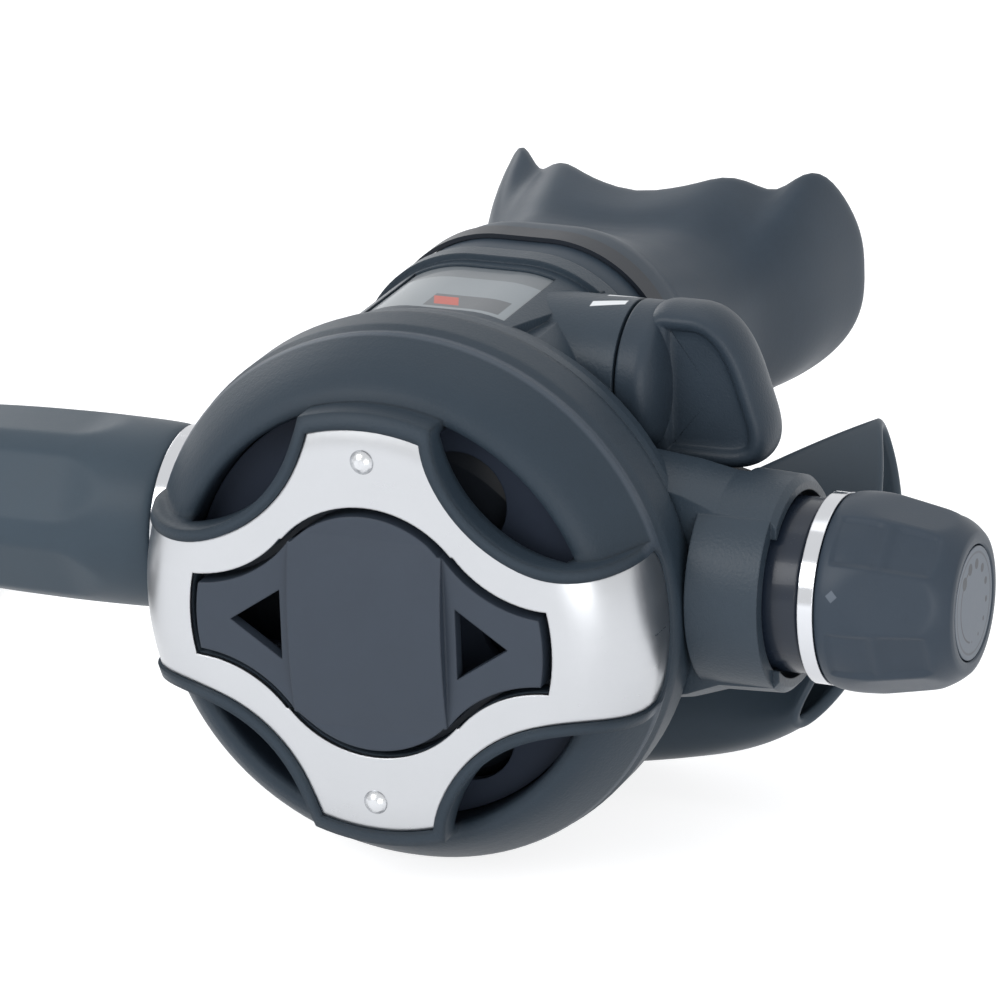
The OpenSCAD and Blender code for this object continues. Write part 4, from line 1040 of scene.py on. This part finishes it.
@dataclass
class Hose:
    """The free hose: its laid route and coil in the cover frame's millimetres, its tie and its end's seal."""

    diameter: float = 12.0
    axis_y: float = 25.5
    axis_z: float = 1.0
    floor: float = -35.9
    centre: tuple[float, float] = (-162.0, 52.0)
    start_r: float = 52.0
    pitch: float = 12.8
    first: float = 90.0
    last: float = 480.0
    rise_from: float = 450.0
    end_height: float = 8.2
    straight: float = 12.0
    tie_w: float = 6.0
    tie_t: float = 0.8
    tie_gap: float = 0.45
    seal: tuple[float, float, float] = (3.65, 0.6, 43.5)
    route: tuple = (
        (-80, 0, 1), (-90, 0, 1), (-100, 0, 1), (-112, 0, 1), (-124, 0, 0.982), (-136, 0, 0.924),
        (-149, 0, 0.824), (-162, 0, 0.694), (-175.6, 1.3, 0.536), (-188.5, 6, 0.376), (-199.9, 14.1, 0.227),
        (-208.9, 24.9, 0.106), (-214.8, 37.8, 0.027), (-217.2, 52, 0),
    )

    def coil(self, angle: np.ndarray) -> np.ndarray:
        """Spiral about the coil's centre whose radius grows by the pitch each turn, and that rises at its end.

        Args:
            angle: Turn along the spiral, in degrees.

        Returns:
            Its points.
        """
        r = self.diameter / 2
        turn, radius = np.radians(angle), self.start_r + self.pitch * angle / 360
        rise = np.clip((angle - self.rise_from) / (self.last - self.rise_from), 0, 1)
        return np.stack([
            self.centre[0] - radius * np.sin(turn),
            self.centre[1] - radius * np.cos(turn) + self.axis_y,
            self.floor + r + (self.end_height - r) / 2 * (1 - np.cos(np.pi * rise)),
        ], -1)

    def heading(self, angle: float) -> np.ndarray:
        """Level unit direction of the coil.

        Args:
            angle: Turn along the spiral, in degrees.

        Returns:
            The direction, which is the spiral's derivative.
        """
        turn, radius, out = math.radians(angle), self.start_r + self.pitch * angle / 360, self.pitch / 2 / math.pi
        way = np.array([
            -radius * math.cos(turn) - out * math.sin(turn), radius * math.sin(turn) - out * math.cos(turn), 0.0
        ])
        return way / np.linalg.norm(way)

    def path(self) -> np.ndarray:
        """Points of the whole hose, from the ferrule to the far fitting.

        Returns:
            Array of shape (points, 3), in the cover frame's millimetres.
        """
        r = self.diameter / 2
        run = np.array(self.route, float)
        run[:, 1] += self.axis_y
        run[:, 2] = self.floor + r + (self.axis_z - self.floor - r) * run[:, 2]
        coil = self.coil(np.arange(self.first, self.last + 0.1, 7.5))
        return np.vstack([smooth_rows(run, 4)[:-1], coil, coil[-1] + self.straight * self.heading(self.last)])

    def make_hose(self, look: bpy.types.Material) -> None:
        """Args:
            look: Its material.
        """
        path = placed(self.path())
        data = bpy.data.curves.new("hose", "CURVE")
        data.dimensions = "3D"
        data.bevel_depth = self.diameter / 2 * MM
        data.bevel_resolution = 8
        data.use_fill_caps = True
        line = data.splines.new("POLY")
        line.points.add(len(path) - 1)
        line.points.foreach_set("co", np.hstack([path, np.ones((len(path), 1))]).ravel())
        line.use_smooth = True
        data.materials.append(look)
        piece = put("hose", data)
        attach(piece, Body.REGULATOR.value)
        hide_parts("hose_run", "hose_coil")

    def make_tie(self, look: bpy.types.Material) -> None:
        """A soft-edged band carried over the two turns that lie side by side, from the floor up and down again.

        Args:
            look: Its material.
        """
        inner, outer = self.coil(np.array(self.first)), self.coil(np.array(self.first + 360))
        across = (outer - inner) / np.linalg.norm(outer - inner)
        along = self.heading(self.first)
        middle, half = (inner + outer) / 2, self.pitch / 2
        r = self.diameter / 2 + self.tie_gap + self.tie_t / 2
        foot = 0.2 - self.diameter / 2
        turn = np.radians(np.linspace(0, 90, 10))
        left = np.stack([-half - r * np.cos(turn), r * np.sin(turn)], 1)
        line = np.vstack([[[-half - r, foot]], left, left[::-1] * [-1, 1], [[half + r, foot]]])
        ahead = np.gradient(line, axis=0)
        ahead /= np.linalg.norm(ahead, axis=1, keepdims=True)
        normal = np.stack([-ahead[:, 1], ahead[:, 0]], 1)
        t, w = self.tie_t / 2, self.tie_w / 2
        section = softened(np.array([[-t, -w], [t, -w], [t, w], [-t, w]]), 0.3)
        flat = line[:, None] + normal[:, None] * section[None, :, :1]
        up = np.array([0.0, 0.0, 1.0])
        grid = middle + flat[..., :1] * across + flat[..., 1:] * up + section[None, :, 1:] * along
        make_piece(
            "hose_tie_band", [surface(grid, Ends.CAPPED)], look, Body.REGULATOR, "strap_plastic", "hose_tie"
        )

    def make_seal(self, look: bpy.types.Material) -> None:
        """The O-ring on the far fitting: a circle turned about the hose's end.

        Args:
            look: Its material.
        """
        ring, wire, at = self.seal
        ahead = self.heading(self.last)
        side = np.cross([0.0, 0.0, 1.0], ahead)
        end = self.path()[-1] + at * ahead
        u, v = full_turn(48).T[..., None], full_turn(16)[..., None]
        out = np.cos(u) * side + np.sin(u) * np.array([0.0, 0.0, 1.0])
        grid = end + (ring + wire * np.cos(v)) * out + wire * np.sin(v) * ahead
        make_piece("end_seal", [surface(grid, Ends.JOINED)], look, Body.REGULATOR, "seal_rubber", "end_o_rings")


@dataclass
class ReturnSpring:
    """The button's return spring as short as it is when pressed, so that it stays behind the moving button."""

    travel: float = 3.6

    def make(self, look: bpy.types.Material) -> None:
        """Takes the CAD spring's mesh and draws its front end back by the travel, in proportion along Y.

        Args:
            look: Its material.
        """
        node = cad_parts["purge_spring"]
        points = np.empty(3 * len(node.data.vertices))
        node.data.vertices.foreach_get("co", points)
        world = np.array(node.matrix_world)
        points = (points.reshape(-1, 3) @ world[:3, :3].T + world[:3, 3]) / MM - ORIGIN
        back, front = points[:, 1].max(), points[:, 1].min()
        points[:, 1] = back + (points[:, 1] - back) * (1 - self.travel / (back - front))
        faces = [list(p.vertices) for p in node.data.polygons]
        make_piece("return_spring", [(points, faces)], look, Body.REGULATOR, "spring_steel", "purge_spring")


# ---- studio


@dataclass
class Studio:
    """Camera, lamps, world and floor. Angles are in degrees; places are in the cover frame's millimetres.

    Attributes:
        fill: Strength of the world's light on surfaces, and where it is seen or mirrored.
        floor: The floor's half width and height, in metres.
        lamps: Name, place, width and power of each lamp.
    """

    aim: tuple[float, float, float] = (10.2, 14.9, 12.15)
    azimuth: float = 22.9
    elevation: float = 19.8
    roll: float = 2.0
    distance: float = 878.0
    lens: float = 248.4
    fill: tuple[float, float] = (0.78, 1.0)
    floor: tuple[float, float] = (3.0, -0.0004)
    lamps: tuple = (
        ("key", (-260, -440, 330), 300, 1.4),
        ("fill", (380, -500, 60), 320, 1.1),
        ("top", (40, 160, 640), 420, 0.4),
        ("rim", (-420, 380, 260), 260, 0.5),
    )

    def axes(self) -> np.ndarray:
        """Directions of the camera in the row frame.

        Returns:
            Unit rows: right, up and back.
        """
        a, e, r = map(math.radians, (self.azimuth, self.elevation, self.roll))
        back = np.array([math.sin(a) * math.cos(e), -math.cos(a) * math.cos(e), math.sin(e)])
        right = np.array([math.cos(a), math.sin(a), 0.0])
        up = np.cross(back, right)
        return np.array([math.cos(r) * right - math.sin(r) * up, math.sin(r) * right + math.cos(r) * up, back])

    def make_camera(self) -> None:
        """Adds the camera a little above and to the right of the cover."""
        data = bpy.data.cameras.new("camera")
        data.lens = self.lens
        data.sensor_width = 36.0
        data.clip_start, data.clip_end = 0.01, 20.0
        camera = put("camera", data)
        axes = self.axes()
        spot = placed(np.array(self.aim) + axes[2] * self.distance)
        camera.matrix_world = Matrix.Translation(Vector(spot)) @ Matrix(axes.T.tolist()).to_4x4()
        bpy.context.scene.camera = camera

    def backdrop_rays(self, graph: "Graph") -> Wire:
        """One for rays that show the backdrop: straight, mirrored and passed through.

        Args:
            graph: The graph to add to.

        Returns:
            The share.
        """
        path = graph.node("ShaderNodeLightPath")
        seen = [graph.wire(path, f"Is {kind} Ray") for kind in ("Camera", "Glossy", "Transmission")]
        return seen[0].most(seen[1]).most(seen[2])

    def make_world(self) -> None:
        """An even cool fill; what is seen or mirrored of it is white."""
        world = bpy.data.worlds.new("studio")
        bpy.context.scene.world = world
        world.use_nodes = True
        graph = Graph(tree=world.node_tree)
        soft = graph.node("ShaderNodeBackground", inputs={0: (0.94, 0.97, 1.0), 1: self.fill[0]})
        white = graph.node("ShaderNodeBackground", inputs={0: (1.0, 1.0, 1.0), 1: self.fill[1]})
        rays = self.backdrop_rays(graph)
        mix = graph.node("ShaderNodeMixShader", inputs={0: rays, 1: graph.wire(soft), 2: graph.wire(white)})
        graph.node("ShaderNodeOutputWorld", inputs={0: graph.wire(mix)})

    def make_lamps(self) -> None:
        """Square soft panels that face the cover."""
        for name, spot, size, power in self.lamps:
            data = bpy.data.lights.new(name, "AREA")
            data.shape = "SQUARE"
            data.size = size * MM
            data.energy = power
            light = put(name, data)
            light.location = placed(np.array(spot, float)).tolist()
            aim = Vector(placed(np.array([0.0, 20.0, 0.0])).tolist()) - light.location
            light.rotation_mode = "QUATERNION"
            light.rotation_quaternion = aim.to_track_quat("-Z", "Y")

    def make_floor(self) -> None:
        """A pale floor that reads white where it is seen, and keeps the object's shadow."""
        graph = Graph("studio_floor")
        pale = graph.node("ShaderNodeBsdfDiffuse", inputs={0: (0.8, 0.81, 0.83)})
        dim = graph.node("ShaderNodeBsdfDiffuse", inputs={0: (0.5, 0.5, 0.51)})
        glow = graph.node("ShaderNodeEmission", inputs={0: (1.0, 1.0, 1.0), 1: 0.82})
        lit = graph.node("ShaderNodeAddShader", inputs={0: graph.wire(glow), 1: graph.wire(dim)})
        rays = self.backdrop_rays(graph)
        mix = graph.node("ShaderNodeMixShader", inputs={0: rays, 1: graph.wire(pale), 2: graph.wire(lit)})
        graph.node("ShaderNodeOutputMaterial", inputs={0: graph.wire(mix)})
        size, under = self.floor
        mesh = bpy.data.meshes.new("floor")
        corners = [(-size, -size, under), (size, -size, under), (size, size, under), (-size, size, under)]
        mesh.from_pydata(corners, [], [(0, 1, 2, 3)])
        mesh.materials.append(graph.material)
        put("floor", mesh)


def main() -> None:
    """Builds the whole scene."""
    bpy.context.scene.view_settings.view_transform = "Standard"
    studio = Studio()
    studio.make_camera()
    looks = make_looks()
    hose = Hose()
    hose.make_tie(looks[Look.STRAP])
    hose.make_seal(looks[Look.SEAL])
    hose.make_hose(looks[Look.HOSE])
    Mouthpiece().make(looks[Look.MOUTHPIECE])
    ExhaustTee().make(looks[Look.TEE])
    HoseSleeve().make(looks[Look.SLEEVE])
    Knob().make(looks[Look.KNOB])
    VenturiLever().make(looks[Look.LEVER])
    ReturnSpring().make(looks[Look.SPRING])
    dress(looks)
    studio.make_world()
    studio.make_lamps()
    studio.make_floor()


if __name__ == "__main__":
    main()
